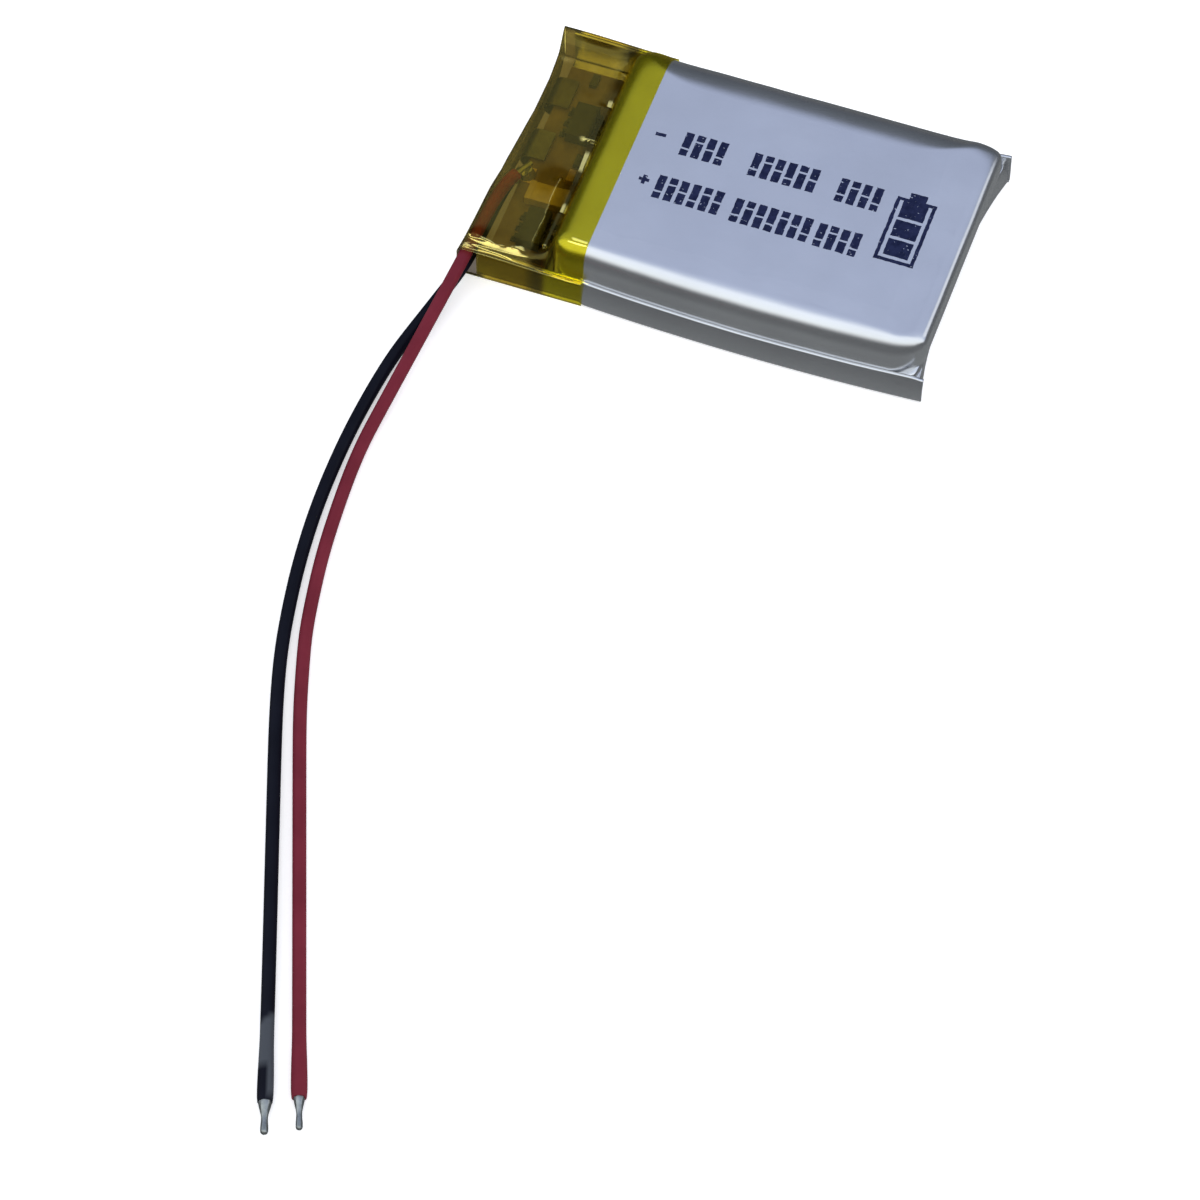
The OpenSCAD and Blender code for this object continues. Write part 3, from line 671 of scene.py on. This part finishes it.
def join(*shells):
    """One list of vertices and one of faces from several."""
    faces, shift = [], 0
    for part_verts, part_faces in shells:
        faces += [[i + shift for i in f] for f in part_faces]
        shift += len(part_verts)
    return np.concatenate([part_verts for part_verts, _ in shells]), faces


stand_in(make_mesh("pouch_face_film", *join(build_tray(), build_terrace()), LAMINATE),
         "cell", "pouch_cup")
back_verts, back_faces = join(build_flap(-1), build_flap(1), build_back(), build_gusset(-1),
                              build_gusset(1))
stand_in(make_mesh("pouch_back_and_seals", step_up(back_verts), back_faces, LAMINATE),
         "cell", "pouch_back_panel")


# ---- printed marking -----------------------------------------------------

PRINT_CUT = 0.13
PRINT_UP, PRINT_LOW = 0.011, 0.002
PRINT_ROUGH, PRINT_GRAIN = 0.04, 0.3


def face_height(points):
    """Height of the dented raised face at plan points with z = 0."""
    flat = points.copy()
    flat[:, 2] = TOP_Z - face_drop(flat, np.maximum(corner_inset(flat) - WALL_LEAN, 0))
    return dent_tray(flat)[:, 2]


def build_marking():
    """The print's own outline, cut fine enough to follow the face, with uneven edges."""
    bm = bmesh.new()
    bm.from_mesh(frame["nodes"]["printed_marking"].data)
    lo, hi = node_box("printed_marking")
    for axis in (0, 1):
        for at in np.arange(lo[axis], hi[axis], PRINT_CUT)[1:]:
            normal = Vector([float(axis == 0), float(axis == 1), 0.0])
            bmesh.ops.bisect_plane(bm, geom=bm.verts[:] + bm.edges[:] + bm.faces[:],
                                   plane_co=normal * at * MM, plane_no=normal, dist=1e-7)
    points = np.array([v.co for v in bm.verts]) / MM
    upper = points[:, 2] > (lo[2] + hi[2]) / 2
    points[:, 2] = 0
    height = face_height(points)
    points[:, :2] += PRINT_ROUGH * np.column_stack(
        [soft_noise(points, PRINT_GRAIN, 31), soft_noise(points, PRINT_GRAIN, 32)])
    points[:, 2] = height + np.where(upper, PRINT_UP, PRINT_LOW)
    bm.verts.index_update()
    faces = [[v.index for v in f.verts] for f in bm.faces]
    bm.free()
    return points, faces


stand_in(make_mesh("jet_printing", *build_marking(), INK), "cell", "printed_marking")


# ---- leads ---------------------------------------------------------------

LEAD_LOW, LEAD_HIGH = node_box("red_end_insulation")
LEAD_R = (LEAD_HIGH[2] - LEAD_LOW[2]) / 2
LEAD_Z = (LEAD_HIGH[2] + LEAD_LOW[2]) / 2
CORE_R = 0.2
LEAD_STEP = 0.35
STRIP_L = 1.5
# points the leads pass through between their pads and the wrap's mouth
ROOT_BENDS = {"red": [(-15.25, -1.55, 1.93), (-16.02, -3.3, 1.93), (-16.26, -5.8, 1.93)],
              "black": [(-16.05, -1.5, 0.93), (-16.25, -4.0, 0.93), (-16.30, -7.0, 0.93)]}
# the insulation swells towards its end, then rounds over
SWELL, SWELL_FROM, SWELL_L = 0.16, 5.0, 4.0
END_ROUND, END_ROUND_L = 0.10, 0.5
# half lengths of lead around each hinge
SWING_BEND, KNEE_BEND = 0.9, 3.0
# bare end: how far it starts inside the insulation, how far it sticks out, and its droop
TIP_BACK, TIP_L, TIP_DROOP, TIP_ROWS = 0.9, 2.2, 0.12, 70
# radius of the solder cone and of the thin shaft beyond it
TIPS = {"red": (0.36, 0.185), "black": (0.43, 0.215)}
CONE_BACK, CONE_L = 0.15, 1.3
TIP_SWELL, TIP_SWELL_FROM, TIP_SWELL_L = 0.03, 1.2, 0.6
TIP_ROUND = 0.22

joints = {j["name"]: j for j in frame["joints"]}


def joint_point(name):
    return np.array(joints[name]["pos_m"]) / MM


def slice_centres(name, step=0.7):
    """Middles of a thin rod's cross-sections, found by walking along it."""
    p = node_points(name)
    p = p[np.argsort(-p[:, 1])]
    centres = []
    for top in np.arange(p[0, 1], p[-1, 1] - step, -step):
        band = p[(p[:, 1] <= top) & (p[:, 1] > top - step)]
        if len(band) > 5:
            centres.append((band.max(0) + band.min(0)) / 2)
    return np.array(centres)


def resample(points, step):
    """The same line with evenly spaced points."""
    points = np.array(points)
    s = np.r_[0, np.cumsum(np.linalg.norm(np.diff(points, axis=0), axis=1))]
    t = np.linspace(0, s[-1], max(int(s[-1] / step), 2))
    return np.column_stack([np.interp(t, s, points[:, k]) for k in range(3)])


def relax(points, rounds):
    """Smooth a line, keeping its ends."""
    p = points.copy()
    for _ in range(rounds):
        p[1:-1] = 0.25 * p[:-2] + 0.5 * p[1:-1] + 0.25 * p[2:]
    return p


def tube(points, radius, sides=28, lobes=None):
    """Closed tube about a line. radius(distance along, whole length) may vary, and
    lobes(angle, distance along) shapes the section."""
    p = np.array(points)
    tangent = np.gradient(p, axis=0)
    tangent /= np.linalg.norm(tangent, axis=1)[:, None]
    up = np.array([0.0, 0.0, 1.0])
    s = np.r_[0, np.cumsum(np.linalg.norm(np.diff(p, axis=0), axis=1))]
    verts = []
    for i in range(len(p)):
        side = np.cross(tangent[i], up)
        side /= np.linalg.norm(side)
        lift = np.cross(side, tangent[i])
        for k in range(sides):
            a = 2 * math.pi * k / sides
            r = radius(s[i], s[-1])
            if lobes:
                r *= lobes(a, s[i])
            verts.append(p[i] + r * (math.cos(a) * side + math.sin(a) * lift))
    faces = grid_faces(len(p), sides, close_cols=True, flip=True)
    faces.append(list(range(sides)))
    faces.append([(len(p) - 1) * sides + k for k in range(sides)][::-1])
    return np.array(verts), faces


def build_lead(colour):
    """Swing point, knee, and centre line of the whole lead from its pad to its end."""
    insulation = colour + "_end_insulation"
    swing, knee = joint_point(colour + "_lead_swing"), joint_point(colour + "_lead_lift")
    root = node_points(colour + "_root_core")
    pad = root[root[:, 1] > root[:, 1].max() - 0.3]
    pad = (pad.max(0) + pad.min(0)) / 2
    mids = slice_centres(insulation)
    mids[:, 2] = LEAD_Z
    tail = mids[mids[:, 1] < knee[1] - 1.5]
    # the last slices are cut short, so the end is drawn straight on from the ones before
    last, earlier = tail[-3], tail[-9]
    end_dir = last - earlier
    end_dir /= np.linalg.norm(end_dir)
    end_y = node_box(insulation)[0][1] + LEAD_R * 0.2
    tail = np.vstack([tail[:-2], last + end_dir * ((end_y - last[1]) / end_dir[1])])
    tail = relax(resample(tail, 0.5), 30)
    bends = [np.array(b) for b in ROOT_BENDS[colour]]
    whole = resample(np.vstack([[pad], bends, [swing], [knee], tail]), LEAD_STEP)
    return swing, knee, relax(whole, 18)


def even_lead(s, length):
    return LEAD_R


def flared_lead(s, length):
    swell = float(smooth_step((s - (length - SWELL_FROM)) / SWELL_L))
    closing = float(smooth_step((s - length + END_ROUND_L) / END_ROUND_L))
    return LEAD_R * (1.0 + SWELL * swell - END_ROUND * closing)


def even_core(s, length):
    return CORE_R


def lead_pieces(colour, material, slot):
    """Near and far length of one lead's insulation and of its conductor."""
    swing, knee, whole = build_lead(colour)
    cut = int(np.argmin(np.linalg.norm(whole - (swing + knee) / 2, axis=1)))
    root, middle, end = "cell", colour + "_middle", colour + "_end"
    for part, start, r_near, r_far, look, part_slot in (
            ("insulation", int(STRIP_L / LEAD_STEP), even_lead, flared_lead, material, slot),
            ("core", 0, even_core, even_core, TINNED, "tinned_copper")):
        near = make_mesh("%s_lead_near_%s" % (colour, part),
                         *tube(whole[start:cut + 1], r_near), look)
        far = make_mesh("%s_lead_far_%s" % (colour, part), *tube(whole[cut:], r_far), look)
        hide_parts("%s_root_%s" % (colour, part), "%s_middle_%s" % (colour, part))
        if part == "insulation":
            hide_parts(colour + "_end_insulation")
        for ob, before, after, hinge, bend in ((near, root, middle, swing, SWING_BEND),
                                               (far, middle, end, knee, KNEE_BEND)):
            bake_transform(ob)
    return whole


def paint_end_sheen(ob, whole):
    """Painted sheen: the last stretch of the black insulation is painted grey where light glances
    off it, but for a dark patch.
    """
    grey_l, patch_l, dark_end = 6.1, 2.7, 0.75
    co = np.array([v.co[:] for v in ob.data.vertices]) / MM
    away = np.linalg.norm(co - whole[-1], axis=1)
    centre = np.interp(co[:, 1], whole[::-1, 1], whole[::-1, 0])
    side = (co[:, 0] - centre) / LEAD_R
    grey = smooth_step((grey_l + 0.35 * side - away) / 0.5)
    patch = smooth_step((patch_l - away) / 0.4) * smooth_step((0.45 - side) / 0.35)
    patch = np.maximum(patch, smooth_step((dark_end - away) / 0.3))
    mark = ob.data.attributes.new(PAINTED_SHEEN_MARK, "FLOAT", "POINT")
    mark.data.foreach_set("value", (grey * (1 - patch)).astype(np.float32))


def tip(colour, whole):
    """Solder cone at the insulation, then a thin shaft of strands with a rounded end."""
    bead, shaft = TIPS[colour]
    ahead = whole[-1] - whole[-6]
    ahead /= np.linalg.norm(ahead)
    line = np.array([whole[-1] + ahead * t for t in np.linspace(-TIP_BACK, TIP_L, TIP_ROWS)])
    line[:, 2] -= TIP_DROOP * np.linspace(0, 1, TIP_ROWS) ** 2

    def radius(s, length):
        out = s - TIP_BACK
        cone = bead + (shaft - bead) * float(smooth_step((out + CONE_BACK) / CONE_L))
        swell = TIP_SWELL * float(smooth_step((out - TIP_SWELL_FROM) / TIP_SWELL_L))
        closing = max(0.0, (out - TIP_L + TIP_ROUND) / TIP_ROUND)
        return (cone + swell) * math.sqrt(max(0.02, 1 - closing ** 2))

    def strands(a, s):
        return 0.97 + 0.06 * abs(math.cos(3 * a + s * 2.4))

    ob = make_mesh(colour + "_lead_tip", *tube(line, radius, 36, strands), TINNED)
    stand_in(ob, colour + "_end", colour + "_end_core")


red_line = lead_pieces("red", RED, "red_pvc")
black_line = lead_pieces("black", BLACK, "black_pvc")
# painted sheen on the last stretch of the black lead
paint_end_sheen(bpy.data.objects["black_lead_far_insulation"], black_line)
tip("red", red_line)
tip("black", black_line)


# ---- amber wrap ----------------------------------------------------------

wrap_hi = node_box("polyimide_wrap")[1]
WRAP_FOOT = wrap_hi[0]
WRAP_Y = wrap_hi[1] - 0.02
WRAP_TOP = wrap_hi[2] + 0.02
WRAP_LOW = 0.02
FILM_T = 0.04
FILM_GAP = 0.035
SEAL_GAP = 0.07
# where the film passes over the side seals, and how far in it still lies on the tray
SIDE_Y = 9.80
ON_TRAY = 0.9
# the head edge seen from above, as (y, x)
HEAD_LINE = ((-10.1, -16.76), (-5.7, -16.60), (-1.8, -16.42), (2.7, -16.10), (5.8, -16.05),
             (8.2, -16.20), (10.1, -16.46))
UNDER_FILM = ("circuit_board", "protection_ic", "mosfet_ic", "resettable_fuse", "capacitor",
              "positive_tab", "negative_tab")
# the film is held up along a line from the tray's shoulder to the near corner
FOLD_X, FOLD_Y, FOLD_END_Y, FOLD_L = -12.15, -2.6, -8.95, 6.3
FOLD_TOP, FOLD_FALL = 3.36, 0.60
# and along the ridge above the near seal, and is stuck down in a valley by the tray
RIDGE_Y, RIDGE_Z, LINE_HALF = -8.85, 2.80, 0.05
VALLEY_X, VALLEY_HALF, VALLEY_Y, VALLEY_Z = -11.45, 0.20, 8.2, 2.15
# height of the head edge, and its rise at the far and the near corner
HEAD_Z, HEAD_FAR_RISE, HEAD_NEAR_RISE = 2.50, 0.62, 0.10
RELAX_ROUNDS = 1100
ALONG_PULL, ACROSS_PULL = 0.36, 0.14
SOFT_WRINKLE, SHARP_WRINKLE = 0.05, 0.09
# what lies under the film stands this far clear of it, and no part stands higher than this
PART_GAP, PART_GROW, PART_TOP, TAB_LAP, LOWEST = 0.05, 0.12, 2.5, 0.12, 0.4
WRAP_ROWS, TOP_COLS = 150, 210
SIDE_ROWS, UNDER_ROWS, HEAD_ROWS = 12, 24, 16
WALL_BOW = 0.03
# the near wall is left open over this range of z, beyond this x, where the leads come out
MOUTH_X, MOUTH_Z = -15.6, (0.36, 2.44)
LEADS_Z, LEADS_HALF = 1.43, 0.75


def in_y_order(line):
    return line[np.argsort(line[:, 1])]


def lead_edge(line, y):
    """Outermost x of a lead at y."""
    part = in_y_order(line)
    return np.interp(y, part[:, 1], part[:, 0]) - LEAD_R


def head_edge(y):
    ys, xs = zip(*HEAD_LINE)
    return np.interp(y, ys, xs)


def plan_points(x, y):
    return np.column_stack([x.ravel(), y.ravel(), np.zeros(x.size)])


def over_seal(x, y):
    """Height of the film over the side seal on the same side as y."""
    return np.where(y > 0, far_top(x), near_top(x)) + SEAL_GAP


def obstacle(x, y):
    """Height of whatever lies under the film at each plan position."""
    z = np.full(x.shape, LOWEST)
    plan = plan_points(x, y)
    inset = corner_inset(plan)
    tray_z = TOP_Z - face_drop(plan, np.maximum(inset - WALL_LEAN, 0)) + FILM_GAP
    z = np.maximum(z, np.where(inset > WALL_LEAN, tray_z, 0).reshape(x.shape))
    z = np.where(np.abs(y) > back_hi[1] - 0.35, np.maximum(z, over_seal(x, y)), z)
    plates_hi = node_box("nickel_plates")[1]
    for name in UNDER_FILM:
        lo, hi = node_box(name)
        top = min(hi[2], PART_TOP)
        x_hi = min(hi[0], TRAY_X0 - 0.4)
        inside = ((x > lo[0] - PART_GROW) & (x < x_hi + PART_GROW)
                  & (y > lo[1] - PART_GROW) & (y < hi[1] + PART_GROW))
        if name.endswith("_tab"):
            top = plates_hi[2] + TAB_LAP
            inside &= x < plates_hi[0] + 0.2
        z = np.where(inside, np.maximum(z, top + PART_GAP), z)
    for line in (red_line, black_line):
        part = in_y_order(line[line[:, 1] > -10.6])
        cx = np.interp(y, part[:, 1], part[:, 0])
        cz = np.interp(y, part[:, 1], part[:, 2])
        off = np.abs(x - cx)
        over = (off < LEAD_R) & (y < part[-1, 1])
        z = np.where(over, np.maximum(
            z, cz + np.sqrt(np.maximum(LEAD_R ** 2 - off ** 2, 0)) + 0.03), z)
    return z


def ridge_y(x):
    """Line of the fold where the film turns down to the near seal."""
    return (RIDGE_Y + 0.14 * np.sin(x * 1.9 + 0.6) + 0.05 * np.sin(x * 5.3)
            + 0.5 * smooth_step((x + 11.6) / 1.2))


def drape(x, y):
    """Height of the film's top: stretched over what lies below, held up along two folds
    and stuck down along a valley beside the raised face."""
    floor_z = obstacle(x, y)
    on_tray = (corner_inset(plan_points(x, y)) > ON_TRAY).reshape(x.shape)
    side = np.abs(y) > SIDE_Y
    t = np.clip((FOLD_Y - y) / FOLD_L, 0, 1)
    fold_x = FOLD_X - 0.10 * np.sin(3.0 * t) - 0.05 * np.sin(9.0 * t)
    fold_z = FOLD_TOP - FOLD_FALL * t
    fold = (np.abs(x - fold_x) < LINE_HALF) & (y < FOLD_Y) & (y > FOLD_END_Y)
    near = (y < ridge_y(x) + LINE_HALF) & (y > ridge_y(x) - LINE_HALF) & ~on_tray
    near_z = RIDGE_Z + 0.04 * np.sin(x * 2.3)
    hold = np.where(fold, fold_z, 0) + np.where(near & ~fold, near_z, 0)
    stuck = (np.abs(x - VALLEY_X) < VALLEY_HALF) & (np.abs(y) < VALLEY_Y)
    stuck_z = np.maximum(VALLEY_Z + 0.10 * np.sin(y * 1.3), floor_z)
    head_top = (HEAD_Z + HEAD_FAR_RISE * smooth_step((y[-1] - 7.6) / 2.4)
                + HEAD_NEAR_RISE * np.exp(-((y[-1] + 8) / 3.0) ** 2))
    z = np.where(side, over_seal(x, y), np.maximum(floor_z, PART_TOP))
    fixed = on_tray | side
    for _ in range(RELAX_ROUNDS):
        mean = z.copy()
        mean[1:-1, 1:-1] = (ALONG_PULL * (z[:-2, 1:-1] + z[2:, 1:-1])
                            + ACROSS_PULL * (z[1:-1, :-2] + z[1:-1, 2:]))
        mean[-1, :] = head_top
        z = np.where(fixed, z, np.maximum(np.maximum(mean, floor_z), hold))
        z = np.where(stuck, stuck_z, z)
    # wrinkles in the loose part
    pts = np.column_stack([x.ravel(), y.ravel(), z.ravel()])
    gentle = soft_noise(pts, 2.6, 21).reshape(z.shape) * SOFT_WRINKLE
    sharp = np.abs(soft_noise(pts * np.array([1.0, 0.6, 1.0]), 1.9, 22)).reshape(z.shape)
    patch = smooth_step((soft_noise(pts, 4.0, 23).reshape(z.shape) - 0.05) / 0.3)
    patch = patch * smooth_step((8.2 - np.abs(y)) / 1.0) * smooth_step((-12.4 - x) / 0.6)
    quiet = smooth_step((9.4 - np.abs(y)) / 0.8)
    loose = smooth_step((TRAY_X0 + 0.3 - x) / 0.8) * (~side)
    z = z + loose * (gentle * quiet - SHARP_WRINKLE * sharp * patch)
    return np.minimum(np.where(on_tray, np.maximum(z, floor_z), z), WRAP_TOP)


def side_wall(x, side, top, fractions):
    """Points down a side wall, 0 at its top, on the far side 1 or the near side -1."""
    return [(x, side * (WRAP_Y + WALL_BOW * math.sin(math.pi * f)),
             top * (1 - f) + WRAP_LOW * f) for f in fractions]


def build_wrap():
    """Closed band of film round the head end, with a head wall and a mouth for the leads."""
    shoulder_y = np.concatenate([np.linspace(9.0, 9.45, 14)[1:], np.linspace(9.45, 9.8, 26)[1:],
                                 np.linspace(9.8, WRAP_Y, 8)[1:]])
    ys = np.concatenate([-shoulder_y[::-1], np.linspace(-9.0, 9.0, TOP_COLS), shoulder_y])
    along, Y = np.meshgrid(np.linspace(0, 1, WRAP_ROWS), ys, indexing="ij")
    X = WRAP_FOOT + along * (head_edge(Y) - WRAP_FOOT)
    top = np.stack([X, Y, drape(X, Y)], axis=-1)
    # far wall, underside and near wall carry each row round the cell
    down = np.linspace(0, 1, SIDE_ROWS)
    verts = []
    for row in top:
        x_near, _, z_near = row[0]
        x_far, _, z_far = row[-1]
        verts += list(row)
        verts += side_wall(x_far, 1, z_far, down[1:])
        verts += [(x_far * (1 - f) + x_near * f, WRAP_Y * (1 - 2 * f), WRAP_LOW)
                  for f in np.linspace(0, 1, UNDER_ROWS)[1:-1]]
        verts += side_wall(x_near, -1, z_near, 1 - down[:-1])
    faces = grid_faces(WRAP_ROWS, len(verts) // WRAP_ROWS, close_cols=True)
    # head wall from the top edge down to the underside, bulging over the leads
    faces += grid_faces(HEAD_ROWS, len(ys), start=len(verts))
    for f in np.linspace(0, 1, HEAD_ROWS):
        for x, y, z in top[-1]:
            zz = z * (1 - f) + WRAP_LOW * f
            use = smooth_step((-2.0 - y) / 2.5)
            lead = float(min(lead_edge(red_line, y), lead_edge(black_line, y))) - 0.03
            bulge = math.exp(-(max(abs(zz - LEADS_Z) - LEADS_HALF, 0) / 0.35) ** 2)
            out = min(0.0, (lead - x)) * use * bulge
            verts.append((x + out - 0.02 * math.sin(math.pi * f), y, zz))
    verts = np.array(verts)
    # the mouth where the leads come out
    centres = [verts[f].mean(0) for f in faces]
    faces = [f for f, c in zip(faces, centres)
             if not (c[1] < -WRAP_Y + 0.02 and c[0] < MOUTH_X and MOUTH_Z[0] < c[2] < MOUTH_Z[1])]
    return verts, faces


wrap = make_mesh("amber_wrap", *build_wrap(), AMBER)
weld = wrap.modifiers.new("weld", "WELD")
weld.merge_threshold = 0.02 * MM
thick = wrap.modifiers.new("thickness", "SOLIDIFY")
thick.thickness = FILM_T * MM
thick.offset = 1.0
stand_in(wrap, "cell", "polyimide_wrap")


# ---- floor, light and camera ---------------------------------------------

FLOOR_HALF, FLOOR_Z = 900.0, -0.01
# what glossy rays see of the floor, by how steeply they meet it
FLOOR_SHADES = ((0.0, (0.085, 0.09, 0.092)), (0.45, (0.10, 0.105, 0.108)),
                (0.70, (0.155, 0.163, 0.165)), (0.85, (0.195, 0.205, 0.208)))
# sky tone by degrees across the cell: -90 at the near horizon, 0 overhead, 90 at the far
SKY = ((-90, (0.095, 0.10, 0.10)), (-82, (0.10, 0.105, 0.105)), (-76, (0.16, 0.165, 0.17)),
       (-63, (0.75, 0.76, 0.75)), (-50, (1.26, 1.33, 1.34)), (-6, (1.26, 1.34, 1.46)),
       (12, (0.66, 0.745, 0.96)), (42, (0.51, 0.585, 0.82)), (53, (0.095, 0.108, 0.13)),
       (68, (0.075, 0.09, 0.105)), (90, (0.05, 0.055, 0.07)))
# a bright spot beyond the foot end: its direction, tone, and outer and inner angle
SPOT_WAY, SPOT_TONE, SPOT_EDGE = (0.74, 0.47, 0.48), (1.15, 1.2, 1.3, 1), (20, 9)
SOFT_LIGHT = (1.0, 1.02, 1.08, 1)
AZIMUTH, ELEVATION, DISTANCE, LENS = 19.6, 56.2, 400.0, 175.83
SHIFT_RIGHT, SHIFT_UP = 9.71, 25.51


def build_floor():
    """Pale floor that stays bright to the eye but reflects darker in the pouch."""
    m = new_material("pale_floor")
    matt = m.new("ShaderNodeBsdfDiffuse", {
        "Color": m.drift(m.noise(40.0, 3.0), (0.93, 0.92, 0.90), (0.95, 0.94, 0.92))})
    lift = m.new("ShaderNodeEmission", {"Color": (0.98, 0.98, 1.0, 1), "Strength": 0.42})
    pale = m.new("ShaderNodeAddShader", {0: matt.outputs[0], 1: lift.outputs[0]})
    view = m.new("ShaderNodeNewGeometry").outputs["Incoming"]
    grey = m.new("ShaderNodeEmission", {
        "Color": m.ramp(m.axes(view)["Z"], FLOOR_SHADES), "Strength": 1.0})
    glossy = m.new("ShaderNodeLightPath").outputs["Is Glossy Ray"]
    s, z = FLOOR_HALF, FLOOR_Z
    make_mesh("floor", [(-s, -s, z), (s, -s, z), (s, s, z), (-s, s, z)],
                       [[0, 1, 2, 3]], m.finish(m.mix_shader(glossy, pale, grey)),
                       smooth=False)


def build_world():
    """Sky told by the angle across the cell, plus a spot; soft even light on matt faces."""
    world = bpy.data.worlds.new("studio")
    bpy.context.scene.world = world
    w = Nodes(world, "ShaderNodeOutputWorld", "Generated")
    axes = w.axes(w.coord)
    across = w.maths("ADD", w.maths("DIVIDE", w.maths("ARCTAN2", axes["Y"], axes["Z"]),
                                    math.pi), 0.5)
    sky = w.ramp(across, [((degrees + 90) / 180, tone) for degrees, tone in SKY])
    spot = w.step(w.dot(w.coord, Vector(SPOT_WAY).normalized()),
                  *(math.cos(math.radians(a)) for a in SPOT_EDGE),
                  interpolation_type="SMOOTHSTEP")
    sky = w.blend(spot, sky, SPOT_TONE)
    soft = w.new("ShaderNodeLightPath").outputs["Is Diffuse Ray"]
    w.finish(w.new("ShaderNodeBackground", {"Color": w.blend(soft, sky, SOFT_LIGHT)}))


def build_camera():
    azimuth, elevation = math.radians(AZIMUTH), math.radians(ELEVATION)
    back = np.array([math.sin(azimuth) * math.cos(elevation),
                     -math.cos(azimuth) * math.cos(elevation), math.sin(elevation)])
    right = np.array([math.cos(azimuth), math.sin(azimuth), 0.0])
    up = np.cross(back, right)
    place = DISTANCE * back - SHIFT_RIGHT * right - SHIFT_UP * up
    data = bpy.data.cameras.new("view")
    data.sensor_width = 36.0
    data.lens = LENS
    data.clip_end = 10.0
    ob = bpy.data.objects.new("view", data)
    turn = Matrix([right, up, back]).transposed()
    ob.matrix_world = Matrix.Translation(Vector(place) * MM) @ turn.to_4x4()
    bpy.context.scene.collection.objects.link(ob)
    bpy.context.scene.camera = ob


build_floor()
build_world()
build_camera()
bpy.context.scene.view_settings.view_transform = "Standard"
